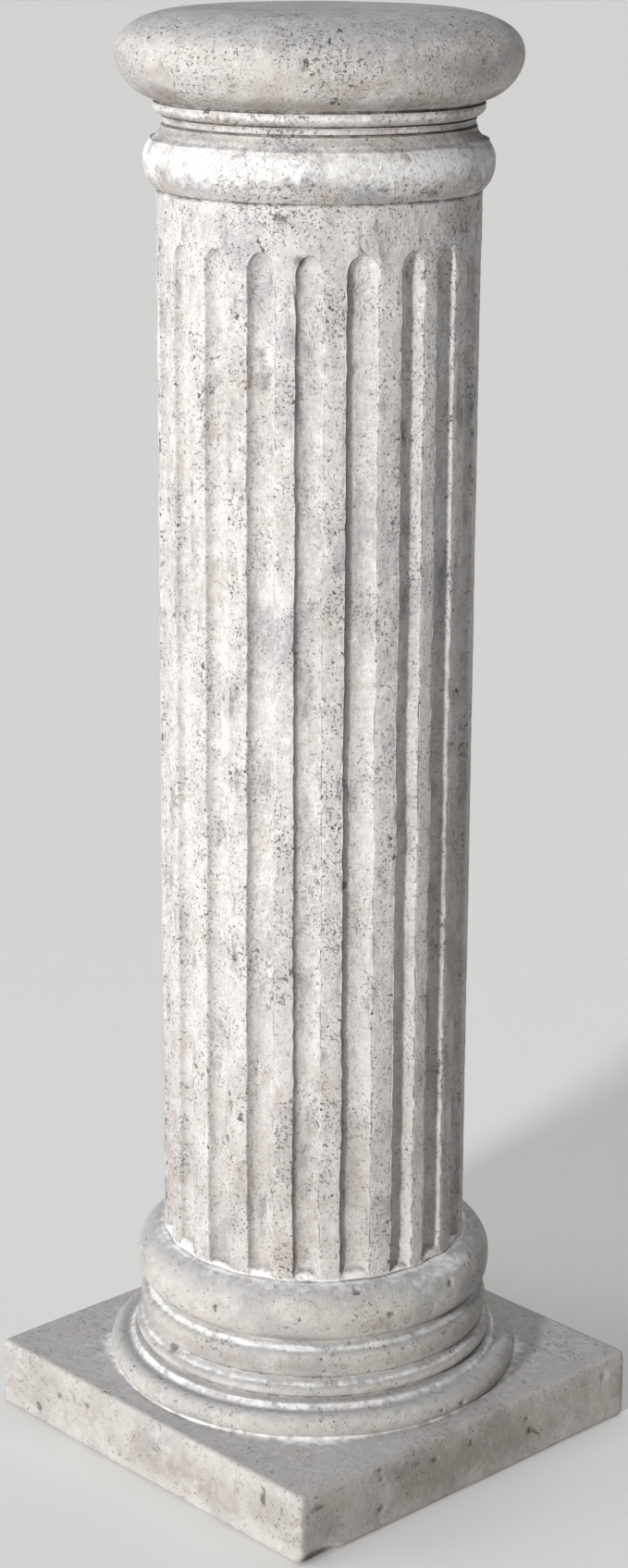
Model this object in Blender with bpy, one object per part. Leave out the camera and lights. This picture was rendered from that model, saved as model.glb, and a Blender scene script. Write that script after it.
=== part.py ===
"""Fluted pedestal of cast stone, in metres, +Z up, origin at the centre of its underside.

It is two castings. The base is a square plinth with its round mouldings. The column
stands on the base and is a fluted shaft with its neck, bead, fillets and cushion cap.
"""

from math import acos, asin, ceil, copysign, cos, degrees, pi, radians, sin, sqrt

import bmesh
import bpy

# Overall sizes
HEIGHT = 0.900
PLINTH_SIDE = 0.291
PLINTH_HEIGHT = 0.0463
PLINTH_EDGE = 0.0018
BED_GAP = 0.0003

# Base mouldings, from the plinth upward
LOWER_TORUS_CENTRE = (0.1244, 0.0527)
LOWER_TORUS_RADIUS = 0.0082
FILLET_RADIUS = 0.1190
FILLET_TOP = 0.0632
LOWER_BAND_RADIUS = 0.1142
LOWER_BAND_TOP = 0.0722
UPPER_BAND_RADIUS = 0.1098
UPPER_BAND_FOOT = 0.0763
UPPER_BAND_TOP = 0.0944
BAND_SWELL = 0.0007
FILLET_EDGE = 0.0011
UPPER_TORUS_CENTRE = (0.0940, 0.1178)
UPPER_TORUS_LOWER_RADII = (0.0202, 0.0190)
UPPER_TORUS_UPPER_RADII = (0.0202, 0.0182)
UPPER_TORUS_FULLNESS = 2.8
MOULDING_ROOT = 0.006

# Shaft and its flutes
SHAFT_RADIUS = 0.0970
BED_HEIGHT = 0.1358
FLUTE_COUNT = 20
FLUTE_SHARE = 0.55
FLUTE_DEPTH = 0.0070
FLUTE_TOP = 0.7685
FLUTE_HEAD_RISE = 0.0120
FIRST_FLUTE_ANGLE = radians(45)
FLUTE_STATIONS = (-1.0, -0.85, -0.48, 0.0, 0.48, 0.85, 1.0)
HEAD_STATIONS = (0.0, 0.5, 0.8, 0.95)

# Neck, bead, fillets and cap
BEAD_CENTRE = (0.0902, 0.8130)
BEAD_LOWER_RADII = (0.01455, 0.0195)
BEAD_UPPER_RADII = (0.01455, 0.0164)
BEAD_REST = 0.0954
GROOVE_RADIUS = 0.0912
GROOVE_HEIGHT = 0.8338
GROOVE_LIP = 0.0022
LOWER_FILLET_RADIUS = 0.0926
LOWER_FILLET_TOP = 0.8378
UPPER_FILLET_RADIUS = 0.0983
UPPER_FILLET_TOP = 0.8474
UPPER_FILLET_ROUND = 0.0042
CAP_RADIUS = 0.1205
CAP_WIDEST = 0.8737
CAP_UNDERSIDE_RADIUS = 0.0930
CAP_UNDERSIDE_DROP = 0.0268
CAP_UNDERSIDE_FULLNESS = 1.8
CAP_REVEAL = 0.0008
CAP_FLAT_RADIUS = 0.0700
CAP_FULLNESS = 2.25

# How finely the round parts are faceted, with arc steps in degrees
TURNED_SEGMENTS = 64
ARC_STEP = 18
CAP_STEP = 13
SMOOTH_ANGLE = radians(35)

COLUMN_COLOUR = (0.70, 0.68, 0.65, 1.0)
BASE_COLOUR = (0.60, 0.59, 0.57, 1.0)
STONE_ROUGHNESS = 0.85


def clear_scene():
    """Remove every object that a new Blender file starts with."""
    for item in list(bpy.data.objects):
        bpy.data.objects.remove(item, do_unlink=True)


def stone(name, colour):
    """A matt mineral material of one colour."""
    material = bpy.data.materials.new(name)
    material.use_nodes = True
    shader = material.node_tree.nodes["Principled BSDF"]
    shader.inputs["Base Color"].default_value = colour
    shader.inputs["Roughness"].default_value = STONE_ROUGHNESS
    shader.inputs["Metallic"].default_value = 0.0
    return material


def arc(centre, radii, start, end, fullness=2.0, step_angle=ARC_STEP):
    """Profile points (radius, height) on an ellipse, between two angles in degrees.

    A fullness above 2 squares the ellipse's shoulders, as a superellipse does.
    """
    steps = ceil((end - start) / step_angle)
    points = []
    for step in range(steps + 1):
        angle = radians(start + (end - start) * step / steps)
        across = copysign(abs(cos(angle)) ** (2 / fullness), cos(angle))
        up = copysign(abs(sin(angle)) ** (2 / fullness), sin(angle))
        points.append((centre[0] + radii[0] * across, centre[1] + radii[1] * up))
    return points


def angle_at_height(centre, radii, height):
    """The angle in degrees, between -90 and 90, at which an ellipse reaches a height."""
    return degrees(asin((height - centre[1]) / radii[1]))


def angle_at_radius(centre, radii, radius):
    """The angle in degrees, between 0 and 90, at which an ellipse reaches a radius."""
    return degrees(acos((radius - centre[0]) / radii[0]))


def turned_ring(radius, height, segments=TURNED_SEGMENTS):
    """Points once round the axis at one radius and height."""
    turns = [2 * pi * step / segments for step in range(segments)]
    return [(radius * cos(turn), radius * sin(turn), height) for turn in turns]


def fluted_ring(height, half_width, depth):
    """Points once round the shaft, each flute cut half_width (radians) to either side."""
    pitch = 2 * pi / FLUTE_COUNT
    points = []
    for flute in range(FLUTE_COUNT):
        middle = FIRST_FLUTE_ANGLE + flute * pitch
        for station in FLUTE_STATIONS:
            radius = SHAFT_RADIUS - depth * sqrt(1 - station * station)
            angle = middle + station * half_width
            points.append((radius * cos(angle), radius * sin(angle), height))
        angle = middle + pitch / 2
        points.append((SHAFT_RADIUS * cos(angle), SHAFT_RADIUS * sin(angle), height))
    return points


def loft(mesh, rings):
    """Skin a stack of equal rings, lowest first, and return their vertices."""
    stack = [[mesh.verts.new(point) for point in ring] for ring in rings]
    for lower, upper in zip(stack, stack[1:]):
        count = len(lower)
        for here in range(count):
            after = (here + 1) % count
            mesh.faces.new((lower[here], lower[after], upper[after], upper[here]))
    return stack


def ring_edges(mesh, ring):
    """The edges that join the vertices of one closed ring."""
    return [mesh.edges.get((ring[index - 1], ring[index])) for index in range(len(ring))]


def finish_object(name, mesh, material):
    """Turn a closed bmesh into a smooth-shaded object in the scene."""
    bmesh.ops.recalc_face_normals(mesh, faces=mesh.faces)
    data = bpy.data.meshes.new(name)
    mesh.to_mesh(data)
    mesh.free()
    data.materials.append(material)
    data.shade_smooth()
    data.set_sharp_from_angle(angle=SMOOTH_ANGLE)
    item = bpy.data.objects.new(name, data)
    bpy.context.collection.objects.link(item)
    return item


def turned_object(name, profile, material):
    """A closed turned body from a profile that runs upward."""
    mesh = bmesh.new()
    stack = loft(mesh, [turned_ring(radius, height) for radius, height in profile])
    mesh.faces.new(reversed(stack[0]))
    mesh.faces.new(stack[-1])
    return finish_object(name, mesh, material)


def lower_torus_profile():
    """The torus that rests on the plinth, from inside the plinth to its inner crevice."""
    radii = (LOWER_TORUS_RADIUS, LOWER_TORUS_RADIUS)
    foot = angle_at_height(LOWER_TORUS_CENTRE, radii, PLINTH_HEIGHT)
    inner = angle_at_radius(LOWER_TORUS_CENTRE, radii, FILLET_RADIUS)
    points = arc(LOWER_TORUS_CENTRE, radii, foot, inner)
    root = (points[0][0], PLINTH_HEIGHT - MOULDING_ROOT)
    return [root] + points


def band_profile():
    """The thin fillet and the two upright bands, each set back above a sloping ledge."""
    lower_middle = (FILLET_TOP + LOWER_BAND_TOP) / 2
    upper_middle = (UPPER_BAND_FOOT + UPPER_BAND_TOP) / 2
    return [
        (FILLET_RADIUS, FILLET_TOP - FILLET_EDGE),
        (FILLET_RADIUS - FILLET_EDGE, FILLET_TOP),
        (LOWER_BAND_RADIUS, FILLET_TOP),
        (LOWER_BAND_RADIUS + BAND_SWELL, lower_middle),
        (LOWER_BAND_RADIUS - BAND_SWELL, LOWER_BAND_TOP),
        (UPPER_BAND_RADIUS, UPPER_BAND_FOOT),
        (UPPER_BAND_RADIUS + BAND_SWELL, upper_middle),
        (UPPER_BAND_RADIUS, UPPER_BAND_TOP),
    ]


def upper_torus_profile():
    """The larger torus under the shaft, up to the flat bed that the shaft stands on."""
    end = angle_at_height(UPPER_TORUS_CENTRE, UPPER_TORUS_UPPER_RADII, BED_HEIGHT)
    lower = arc(UPPER_TORUS_CENTRE, UPPER_TORUS_LOWER_RADII, -90, 0, UPPER_TORUS_FULLNESS)
    upper = arc(UPPER_TORUS_CENTRE, UPPER_TORUS_UPPER_RADII, 0, end)
    return lower + upper[1:]


def make_base(material):
    """The square plinth with its round mouldings, cast as one."""
    mesh = bmesh.new()
    bmesh.ops.create_cube(mesh, size=1.0)
    bmesh.ops.scale(mesh, vec=(PLINTH_SIDE, PLINTH_SIDE, PLINTH_HEIGHT), verts=mesh.verts)
    bmesh.ops.translate(mesh, vec=(0, 0, PLINTH_HEIGHT / 2), verts=mesh.verts)
    base = finish_object("base", mesh, material)

    profile = lower_torus_profile() + band_profile() + upper_torus_profile()
    mouldings = turned_object("base_mouldings_form", profile, material)
    mouldings.hide_render = True
    mouldings.display_type = "WIRE"

    edges = base.modifiers.new("worn_edges", "BEVEL")
    edges.width = PLINTH_EDGE
    edges.segments = 2
    edges.limit_method = "ANGLE"
    union = base.modifiers.new("mouldings", "BOOLEAN")
    union.operation = "UNION"
    union.solver = "EXACT"
    union.object = mouldings
    return base


def flute_rings():
    """The shaft's rings from its foot to just above the round flute heads."""
    half_width = FLUTE_SHARE * pi / FLUTE_COUNT
    spring_line = FLUTE_TOP - FLUTE_HEAD_RISE
    rings = [fluted_ring(BED_HEIGHT + BED_GAP, half_width, FLUTE_DEPTH)]
    for station in HEAD_STATIONS:
        narrowing = sqrt(1 - station * station)
        height = spring_line + station * FLUTE_HEAD_RISE
        rings.append(fluted_ring(height, half_width * narrowing, FLUTE_DEPTH * narrowing))
    narrowest = sqrt(1 - HEAD_STATIONS[-1] ** 2)
    rings.append(fluted_ring(FLUTE_TOP, half_width * narrowest, 0.0))
    return rings


def bead_profile():
    """The bead above the plain neck, from the neck's surface to its own top."""
    start = angle_at_radius(BEAD_CENTRE, BEAD_LOWER_RADII, SHAFT_RADIUS)
    end = angle_at_radius(BEAD_CENTRE, BEAD_UPPER_RADII, BEAD_REST)
    lower = arc(BEAD_CENTRE, BEAD_LOWER_RADII, -start, 0)
    upper = arc(BEAD_CENTRE, BEAD_UPPER_RADII, 0, end)
    return lower + upper[1:]


def collar_profile():
    """The groove above the bead and the two fillets that step out under the cap."""
    return [
        (BEAD_REST, GROOVE_HEIGHT - GROOVE_LIP),
        (GROOVE_RADIUS, GROOVE_HEIGHT),
        (LOWER_FILLET_RADIUS, GROOVE_HEIGHT + FILLET_EDGE),
        (LOWER_FILLET_RADIUS, LOWER_FILLET_TOP),
        (UPPER_FILLET_RADIUS - UPPER_FILLET_ROUND, LOWER_FILLET_TOP + FILLET_EDGE),
        (UPPER_FILLET_RADIUS, LOWER_FILLET_TOP + FILLET_EDGE + UPPER_FILLET_ROUND),
        (UPPER_FILLET_RADIUS, UPPER_FILLET_TOP),
    ]


def cap_profile():
    """The cushion-shaped cap, from the upper fillet round to its flat top."""
    under_centre = (CAP_UNDERSIDE_RADIUS, CAP_WIDEST)
    under_radii = (CAP_RADIUS - CAP_UNDERSIDE_RADIUS, CAP_UNDERSIDE_DROP)
    over_centre = (CAP_FLAT_RADIUS, CAP_WIDEST)
    over_radii = (CAP_RADIUS - CAP_FLAT_RADIUS, HEIGHT - CAP_WIDEST)
    start = angle_at_radius(under_centre, under_radii, UPPER_FILLET_RADIUS + CAP_REVEAL)
    underside = arc(under_centre, under_radii, -start, 0, CAP_UNDERSIDE_FULLNESS)
    top = arc(over_centre, over_radii, 0, 90, CAP_FULLNESS, CAP_STEP)
    return underside + top[1:]


def make_column(material):
    """The fluted shaft with its neck, bead, fillets and cap, cast as one."""
    mesh = bmesh.new()
    shaft = loft(mesh, flute_rings())
    profile = bead_profile() + collar_profile() + cap_profile()
    crown = loft(mesh, [turned_ring(radius, height) for radius, height in profile])
    mesh.faces.new(reversed(shaft[0]))
    mesh.faces.new(crown[-1])
    bmesh.ops.bridge_loops(mesh, edges=ring_edges(mesh, shaft[-1]) + ring_edges(mesh, crown[0]))
    return finish_object("column", mesh, material)


def main():
    """Build the two castings of the pedestal."""
    clear_scene()
    make_base(stone("base_stone", BASE_COLOUR))
    make_column(stone("column_stone", COLUMN_COLOUR))


main()
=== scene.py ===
"""Fluted pedestal in aged cast stone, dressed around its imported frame.

The shaft and the capital stand for the node column, and the moulded base for the node
base. Each is one closed skin that Geometry Nodes turn from a profile, with the flutes,
the weathering and the pits cut inward from the frame's own sizes.
"""

import logging
import random
from dataclasses import dataclass, replace
from enum import Enum
from math import acos, asin, ceil, copysign, cos, degrees, exp, hypot, pi, radians, sin
from typing import Any, Iterable, Mapping, Sequence, Union

import bpy
import numpy as np
from mathutils import Matrix, Vector


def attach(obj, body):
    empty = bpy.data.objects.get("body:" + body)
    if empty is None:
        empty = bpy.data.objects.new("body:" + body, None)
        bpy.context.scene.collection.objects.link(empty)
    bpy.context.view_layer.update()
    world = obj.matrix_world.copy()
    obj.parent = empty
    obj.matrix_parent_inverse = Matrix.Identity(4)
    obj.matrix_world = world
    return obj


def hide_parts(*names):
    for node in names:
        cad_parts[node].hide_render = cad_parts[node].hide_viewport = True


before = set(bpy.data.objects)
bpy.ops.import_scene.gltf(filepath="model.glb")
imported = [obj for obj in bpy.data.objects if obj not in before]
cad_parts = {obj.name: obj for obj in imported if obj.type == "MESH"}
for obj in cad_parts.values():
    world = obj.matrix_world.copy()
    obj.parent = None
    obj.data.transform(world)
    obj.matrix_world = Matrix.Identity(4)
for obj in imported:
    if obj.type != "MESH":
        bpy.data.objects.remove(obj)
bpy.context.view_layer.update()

LOG = logging.getLogger("pedestal")
MILLIMETRE = 0.001
CAMERA_AZIMUTH = 46.73
FRONT = CAMERA_AZIMUTH - 90.0
POLE = 0.0004
NodeInput = Union[bpy.types.NodeSocket, bpy.types.Node, float, int, str, tuple, None]
Corner = tuple[float, float, float]


class Slot(Enum):
    """The record's material slots."""

    BASE = "base_stone"
    COLUMN = "column_stone"


def linear(colour: str) -> tuple[float, float, float, float]:
    """Turn an sRGB hex colour into Blender's linear RGBA.

    Args:
        colour: Six hex digits.

    Returns:
        Linear red, green, blue and an alpha of one.
    """
    channels = [int(colour[place : place + 2], 16) / 255 for place in (0, 2, 4)]
    curve = [c / 12.92 if c <= 0.04045 else ((c + 0.055) / 1.055) ** 2.4 for c in channels]
    return (curve[0], curve[1], curve[2], 1.0)


def per_metre(millimetres: float) -> float:
    """The texture scale at which one cell of a pattern spans so many millimetres."""
    return 1.0 / (millimetres * MILLIMETRE)


def first_output(node: bpy.types.Node) -> bpy.types.NodeSocket:
    """The first output of a node that its settings leave in use."""
    return next(socket for socket in node.outputs if socket.enabled)


def add_node(
    tree: bpy.types.NodeTree,
    kind: str,
    settings: Mapping[str, Any] = {},
    inputs: Union[Sequence[NodeInput], Mapping[str, NodeInput]] = (),
) -> bpy.types.Node:
    """Add a node with its settings, values and links.

    Args:
        tree: The shader or geometry tree that takes the node.
        kind: Blender's own name for the type of node.
        settings: Properties to set on the node itself.
        inputs: What feeds its inputs, by name or in order. A node stands for its first
            output in use, a socket is linked, None is passed over and the rest are values.

    Returns:
        The new node.
    """
    node = tree.nodes.new(kind)
    for name, value in settings.items():
        setattr(node, name, value)
    used = [socket for socket in node.inputs if socket.enabled]
    if isinstance(inputs, Mapping):
        pairs = [(next(s for s in used if s.name == name), value) for name, value in inputs.items()]
    else:
        pairs = list(zip(used, inputs))
    for socket, value in pairs:
        if isinstance(value, bpy.types.Node):
            value = first_output(value)
        if isinstance(value, bpy.types.NodeSocket):
            tree.links.new(value, socket)
        elif value is not None:
            socket.default_value = value
    return node


MATH = "ShaderNodeMath"
VECTOR_MATH = "ShaderNodeVectorMath"
NOISE = "ShaderNodeTexNoise"
RANGE = "ShaderNodeMapRange"
MIX = "ShaderNodeMix"
MAPPING = "ShaderNodeMapping"
BUMP = "ShaderNodeBump"
COMBINE = "ShaderNodeCombineXYZ"
SEPARATE = "ShaderNodeSeparateXYZ"
GROUP = "GeometryNodeGroup"
POSITION = "GeometryNodeInputPosition"
READ = "GeometryNodeInputNamedAttribute"
STORE = "GeometryNodeStoreNamedAttribute"
SAMPLE = "GeometryNodeSampleIndex"
MOVE = "GeometryNodeSetPosition"

ADD = {"operation": "ADD"}
SUBTRACT = {"operation": "SUBTRACT"}
MULTIPLY = {"operation": "MULTIPLY"}
DIVIDE = {"operation": "DIVIDE"}
MULTIPLY_ADD = {"operation": "MULTIPLY_ADD"}
FLOORED_MODULO = {"operation": "FLOORED_MODULO"}
POWER = {"operation": "POWER"}
SQRT = {"operation": "SQRT"}
ABSOLUTE = {"operation": "ABSOLUTE"}
SIGN = {"operation": "SIGN"}
ROUND = {"operation": "ROUND"}
FLOOR = {"operation": "FLOOR"}
MINIMUM = {"operation": "MINIMUM"}
MAXIMUM = {"operation": "MAXIMUM"}
LESS_THAN = {"operation": "LESS_THAN"}
GREATER_THAN = {"operation": "GREATER_THAN"}
SINE = {"operation": "SINE"}
COSINE = {"operation": "COSINE"}
ARCTAN2 = {"operation": "ARCTAN2"}
SCALE = {"operation": "SCALE"}
SMOOTH_STEP = {"interpolation_type": "SMOOTHSTEP"}
COLOUR_MIX = {"data_type": "RGBA"}
VALUE = {"data_type": "FLOAT"}
POINT_VALUE = {"data_type": "FLOAT", "domain": "POINT"}
POINT_VECTOR = {"data_type": "FLOAT_VECTOR", "domain": "POINT"}


def new_geometry_tree(
    name: str, inputs: Mapping[str, tuple[str, Any]], outputs: Mapping[str, str]
) -> tuple[bpy.types.NodeTree, bpy.types.Node, bpy.types.Node]:
    """Start a Geometry Nodes tree with named inputs and outputs.

    Args:
        name: The tree's name.
        inputs: For each input, its socket type's short name and its default or None.
        outputs: For each output, its socket type's short name.

    Returns:
        The tree, its input node and its output node.
    """
    tree = bpy.data.node_groups.new(name, "GeometryNodeTree")
    for label, (kind, default) in inputs.items():
        socket = tree.interface.new_socket(label, in_out="INPUT", socket_type="NodeSocket" + kind)
        if default is not None:
            socket.default_value = default
    for label, kind in outputs.items():
        tree.interface.new_socket(label, in_out="OUTPUT", socket_type="NodeSocket" + kind)
    return tree, tree.nodes.new("NodeGroupInput"), tree.nodes.new("NodeGroupOutput")


def connect_outputs(
    tree: bpy.types.NodeTree, end: bpy.types.Node, results: Mapping[str, NodeInput]
) -> None:
    """Link a tree's results to its output node.

    Args:
        tree: The tree.
        end: Its output node.
        results: What feeds each named output.
    """
    for name, value in results.items():
        source = first_output(value) if isinstance(value, bpy.types.Node) else value
        tree.links.new(source, end.inputs[name])


SETTLED = ("wash", "grime", "umber")


@dataclass(frozen=True)
class Row:
    """One row of a turned profile, with what has settled on the stone there."""

    radius: float
    height: float
    square: float = 0.0
    wash: float = 0.0
    grime: float = 0.0
    umber: float = 0.0


@dataclass(frozen=True)
class Deposit:
    """White wash, umber stain, or grime with painted crease shade, laid along one line of a
    profile.
    """

    radius: float
    height: float
    reach: float
    wash: float = 0.0
    grime: float = 0.0
    umber: float = 0.0

    def at(self, row: Row) -> float:
        """How much of the deposit reaches a row, from 0 to 1."""
        away = hypot(row.radius - self.radius, row.height - self.height) / self.reach
        return exp(-away * away)


def arc_rows(
    centre: tuple[float, float],
    radii: tuple[float, float],
    start: float,
    end: float,
    spacing: float,
    fullness: float = 2.0,
) -> list[Row]:
    """Rows along an ellipse, or along a superellipse where the fullness is above 2.

    Args:
        centre: Radius and height of the ellipse's centre.
        radii: Its half sizes, outward and upward.
        start: First angle in degrees, with 0 pointing outward and 90 upward.
        end: Last angle in degrees.
        spacing: Distance between rows in metres.
        fullness: How square the shoulders are.

    Returns:
        The rows, both ends included.
    """
    steps = max(2, ceil(radians(abs(end - start)) * max(radii) / spacing))
    rows = []
    for step in range(steps + 1):
        angle = radians(start + (end - start) * step / steps)
        across = copysign(abs(cos(angle)) ** (2 / fullness), cos(angle))
        up = copysign(abs(sin(angle)) ** (2 / fullness), sin(angle))
        rows.append(Row(centre[0] + radii[0] * across, centre[1] + radii[1] * up))
    return rows


def line_rows(corners: Sequence[Corner], spacing: float) -> list[Row]:
    """Rows along straight runs between corners, without the first corner.

    Args:
        corners: Radius, height and squareness of each corner.
        spacing: Distance between rows in metres.

    Returns:
        The rows, with each corner kept exactly.
    """
    rows = []
    for here, there in zip(corners, corners[1:]):
        steps = max(1, ceil(hypot(there[0] - here[0], there[1] - here[1]) / spacing))
        for step in range(1, steps + 1):
            share = step / steps
            values = [a + (b - a) * share for a, b in zip(here, there)]
            rows.append(Row(*values))
    return rows


def settle(rows: Iterable[Row], deposits: Sequence[Deposit]) -> list[Row]:
    """Lay the deposits on a profile's rows.

    Args:
        rows: The bare rows.
        deposits: What has settled, and where.

    Returns:
        The same rows with what lies on each.
    """
    settled = []
    for row in rows:
        found = [max(getattr(d, label) * d.at(row) for d in deposits) for label in SETTLED]
        settled.append(Row(row.radius, row.height, row.square, *found))
    return settled


def soften(rows: Sequence[Row], low: float, high: float, passes: int) -> list[Row]:
    """Round the corners of a profile between two heights, as wear and plaster do.

    Args:
        rows: The sharp rows.
        low: The lowest height that is softened.
        high: The highest height that is softened.
        passes: How many times each row moves towards its neighbours.

    Returns:
        The rows with their corners rounded.
    """
    soft = list(rows)
    for _ in range(passes):
        before = list(soft)
        for index in range(1, len(before) - 1):
            last, here, following = before[index - 1 : index + 2]
            if low < here.height < high:
                radius = (last.radius + 2 * here.radius + following.radius) / 4
                height = (last.height + 2 * here.height + following.height) / 4
                soft[index] = Row(radius, height, here.square)
    return soft


def profile_object(name: str, rows: Sequence[Row]) -> bpy.types.Object:
    """A loose chain of points, one a row, that a tree turns into a skin.

    Args:
        name: The object's name.
        rows: The profile's rows, lowest first.

    Returns:
        The object, with what has settled as point attributes.
    """
    mesh = bpy.data.meshes.new(name)
    mesh.from_pydata([(row.radius, row.square, row.height) for row in rows], [], [])
    for label in SETTLED:
        values = mesh.attributes.new(label, "FLOAT", "POINT").data
        values.foreach_set("value", [getattr(row, label) for row in rows])
    item = bpy.data.objects.new(name, mesh)
    bpy.context.scene.collection.objects.link(item)
    return item


def sweep_group() -> bpy.types.NodeTree:
    """The group that gives a closed drum with one ring of points for each profile row.

    Returns:
        A tree from a profile and a number of segments to the drum, and to the radius,
        height, squareness, deposits and column number of each of its points.
    """
    tree, start, end = new_geometry_tree(
        "sweep_profile",
        {"Profile": ("Geometry", None), "Segments": ("Int", 64)},
        {
            "Drum": "Geometry",
            "Radius": "Float",
            "Height": "Float",
            "Square": "Float",
            "Wash": "Float",
            "Grime": "Float",
            "Umber": "Float",
            "Column": "Float",
        },
    )
    profile, segments = start.outputs["Profile"], start.outputs["Segments"]
    size = add_node(tree, "GeometryNodeAttributeDomainSize", {}, (profile,))
    spans = add_node(tree, MATH, SUBTRACT, (size.outputs["Point Count"], 1.0))
    drum = add_node(
        tree,
        "GeometryNodeMeshCylinder",
        {"fill_type": "NGON"},
        {"Vertices": segments, "Side Segments": spans, "Radius": 1.0, "Depth": spans},
    )
    spot = add_node(tree, POSITION)
    axes = add_node(tree, SEPARATE, {}, (spot,))
    middle = add_node(tree, MATH, MULTIPLY, (spans, 0.5))
    level = add_node(tree, MATH, ADD, (axes.outputs["Z"], middle))
    row = add_node(tree, MATH, ROUND, (level,))
    turn = add_node(tree, MATH, ARCTAN2, (axes.outputs["Y"], axes.outputs["X"]))
    share = add_node(tree, MATH, DIVIDE, (turn, 2 * pi))
    wrapped = add_node(tree, MATH, FLOORED_MODULO, (share, 1.0))
    counted = add_node(tree, MATH, MULTIPLY, (wrapped, segments))
    whole = add_node(tree, MATH, ROUND, (counted,))
    column = add_node(tree, MATH, FLOORED_MODULO, (whole, segments))

    point = POINT_VECTOR
    sample = add_node(tree, SAMPLE, point, {"Geometry": profile, "Value": spot, "Index": row})
    place = add_node(tree, SEPARATE, {}, (sample,))
    found = {}
    for label in SETTLED:
        attribute = add_node(tree, READ, VALUE, (label,))
        found[label] = add_node(
            tree,
            SAMPLE,
            POINT_VALUE,
            {"Geometry": profile, "Value": attribute, "Index": row},
        )
    connect_outputs(
        tree,
        end,
        {
            "Drum": drum,
            "Radius": place.outputs["X"],
            "Height": place.outputs["Z"],
            "Square": place.outputs["Y"],
            "Wash": found["wash"],
            "Grime": found["grime"],
            "Umber": found["umber"],
            "Column": column,
        },
    )
    return tree


def weather_group() -> bpy.types.NodeTree:
    """The group that wears a skin: slow waves, grain and open pits, all cut inward.

    Returns:
        A tree that moves a mesh's points inward and stores how deep each lies in a pit.
    """
    tree, start, end = new_geometry_tree(
        "weather_stone",
        {
            "Skin": ("Geometry", None),
            "Wave Length": ("Float", 0.06),
            "Wave Depth": ("Float", 0.0008),
            "Grain Length": ("Float", 0.008),
            "Grain Depth": ("Float", 0.0003),
            "Pit Spacing": ("Float", 0.007),
            "Pit Depth": ("Float", 0.0010),
            "Pit Share": ("Float", 0.12),
            "Pit Stretch": ("Float", 1.0),
            "Shelter": ("Float", 0.0),
            "Seed": ("Float", 0.0),
        },
        {"Skin": "Geometry"},
    )
    sizes = start.outputs
    rarest_pit, pit_edge, underside = 0.74, 0.06, -0.98
    spot = add_node(tree, POSITION)
    normal = add_node(tree, "GeometryNodeInputNormal")
    seeded = add_node(tree, VECTOR_MATH, ADD, (spot, sizes["Seed"]))
    exposed = add_node(tree, MATH, SUBTRACT, (1.0, sizes["Shelter"]))

    cuts = []
    for label, detail in (("Wave", 1.0), ("Grain", 3.0)):
        scale = add_node(tree, MATH, DIVIDE, (1.0, sizes[label + " Length"]))
        noise = add_node(tree, NOISE, {}, {"Vector": seeded, "Scale": scale, "Detail": detail})
        cut = add_node(tree, MATH, MULTIPLY, (noise, sizes[label + " Depth"]))
        cuts.append(add_node(tree, MATH, MULTIPLY, (cut, exposed)))

    stretch = add_node(tree, COMBINE, {}, (1.0, 1.0, sizes["Pit Stretch"]))
    drawn = add_node(tree, VECTOR_MATH, MULTIPLY, (seeded, stretch))
    pit_scale = add_node(tree, MATH, DIVIDE, (1.0, sizes["Pit Spacing"]))
    torn = add_node(
        tree, NOISE, {}, {"Vector": drawn, "Scale": pit_scale, "Detail": 2.0, "Roughness": 0.6}
    )
    crowd = add_node(tree, NOISE, {}, {"Vector": seeded, "Scale": per_metre(40), "Detail": 2.0})
    crowding = add_node(tree, RANGE, {}, (crowd, 0.40, 0.66, 0.0, 1.0))
    eased = add_node(tree, MATH, MULTIPLY, (crowding, sizes["Pit Share"]))
    begins = add_node(tree, MATH, SUBTRACT, (rarest_pit, eased))
    full = add_node(tree, MATH, ADD, (begins, pit_edge))
    pit = add_node(tree, RANGE, SMOOTH_STEP, (torn, begins, full, 0.0, 1.0))
    bare_pit = add_node(tree, MATH, MULTIPLY, (pit, exposed))
    cuts.append(add_node(tree, MATH, MULTIPLY, (bare_pit, sizes["Pit Depth"])))

    pair = add_node(tree, MATH, ADD, (cuts[0], cuts[1]))
    total = add_node(tree, MATH, ADD, (pair, cuts[2]))
    inward = add_node(tree, MATH, MULTIPLY, (total, -1.0))
    facing = add_node(tree, SEPARATE, {}, (normal,))
    standing = add_node(tree, MATH, GREATER_THAN, (facing.outputs["Z"], underside))
    kept_flat = add_node(tree, MATH, MULTIPLY, (inward, standing))
    offset = add_node(tree, VECTOR_MATH, SCALE, {"Vector": normal, "Scale": kept_flat})
    marked = add_node(
        tree,
        STORE,
        POINT_VALUE,
        {"Geometry": sizes["Skin"], "Name": "pit", "Value": bare_pit},
    )
    worn = add_node(tree, MOVE, {}, {"Geometry": marked, "Offset": offset})
    connect_outputs(tree, end, {"Skin": worn})
    return tree


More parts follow.
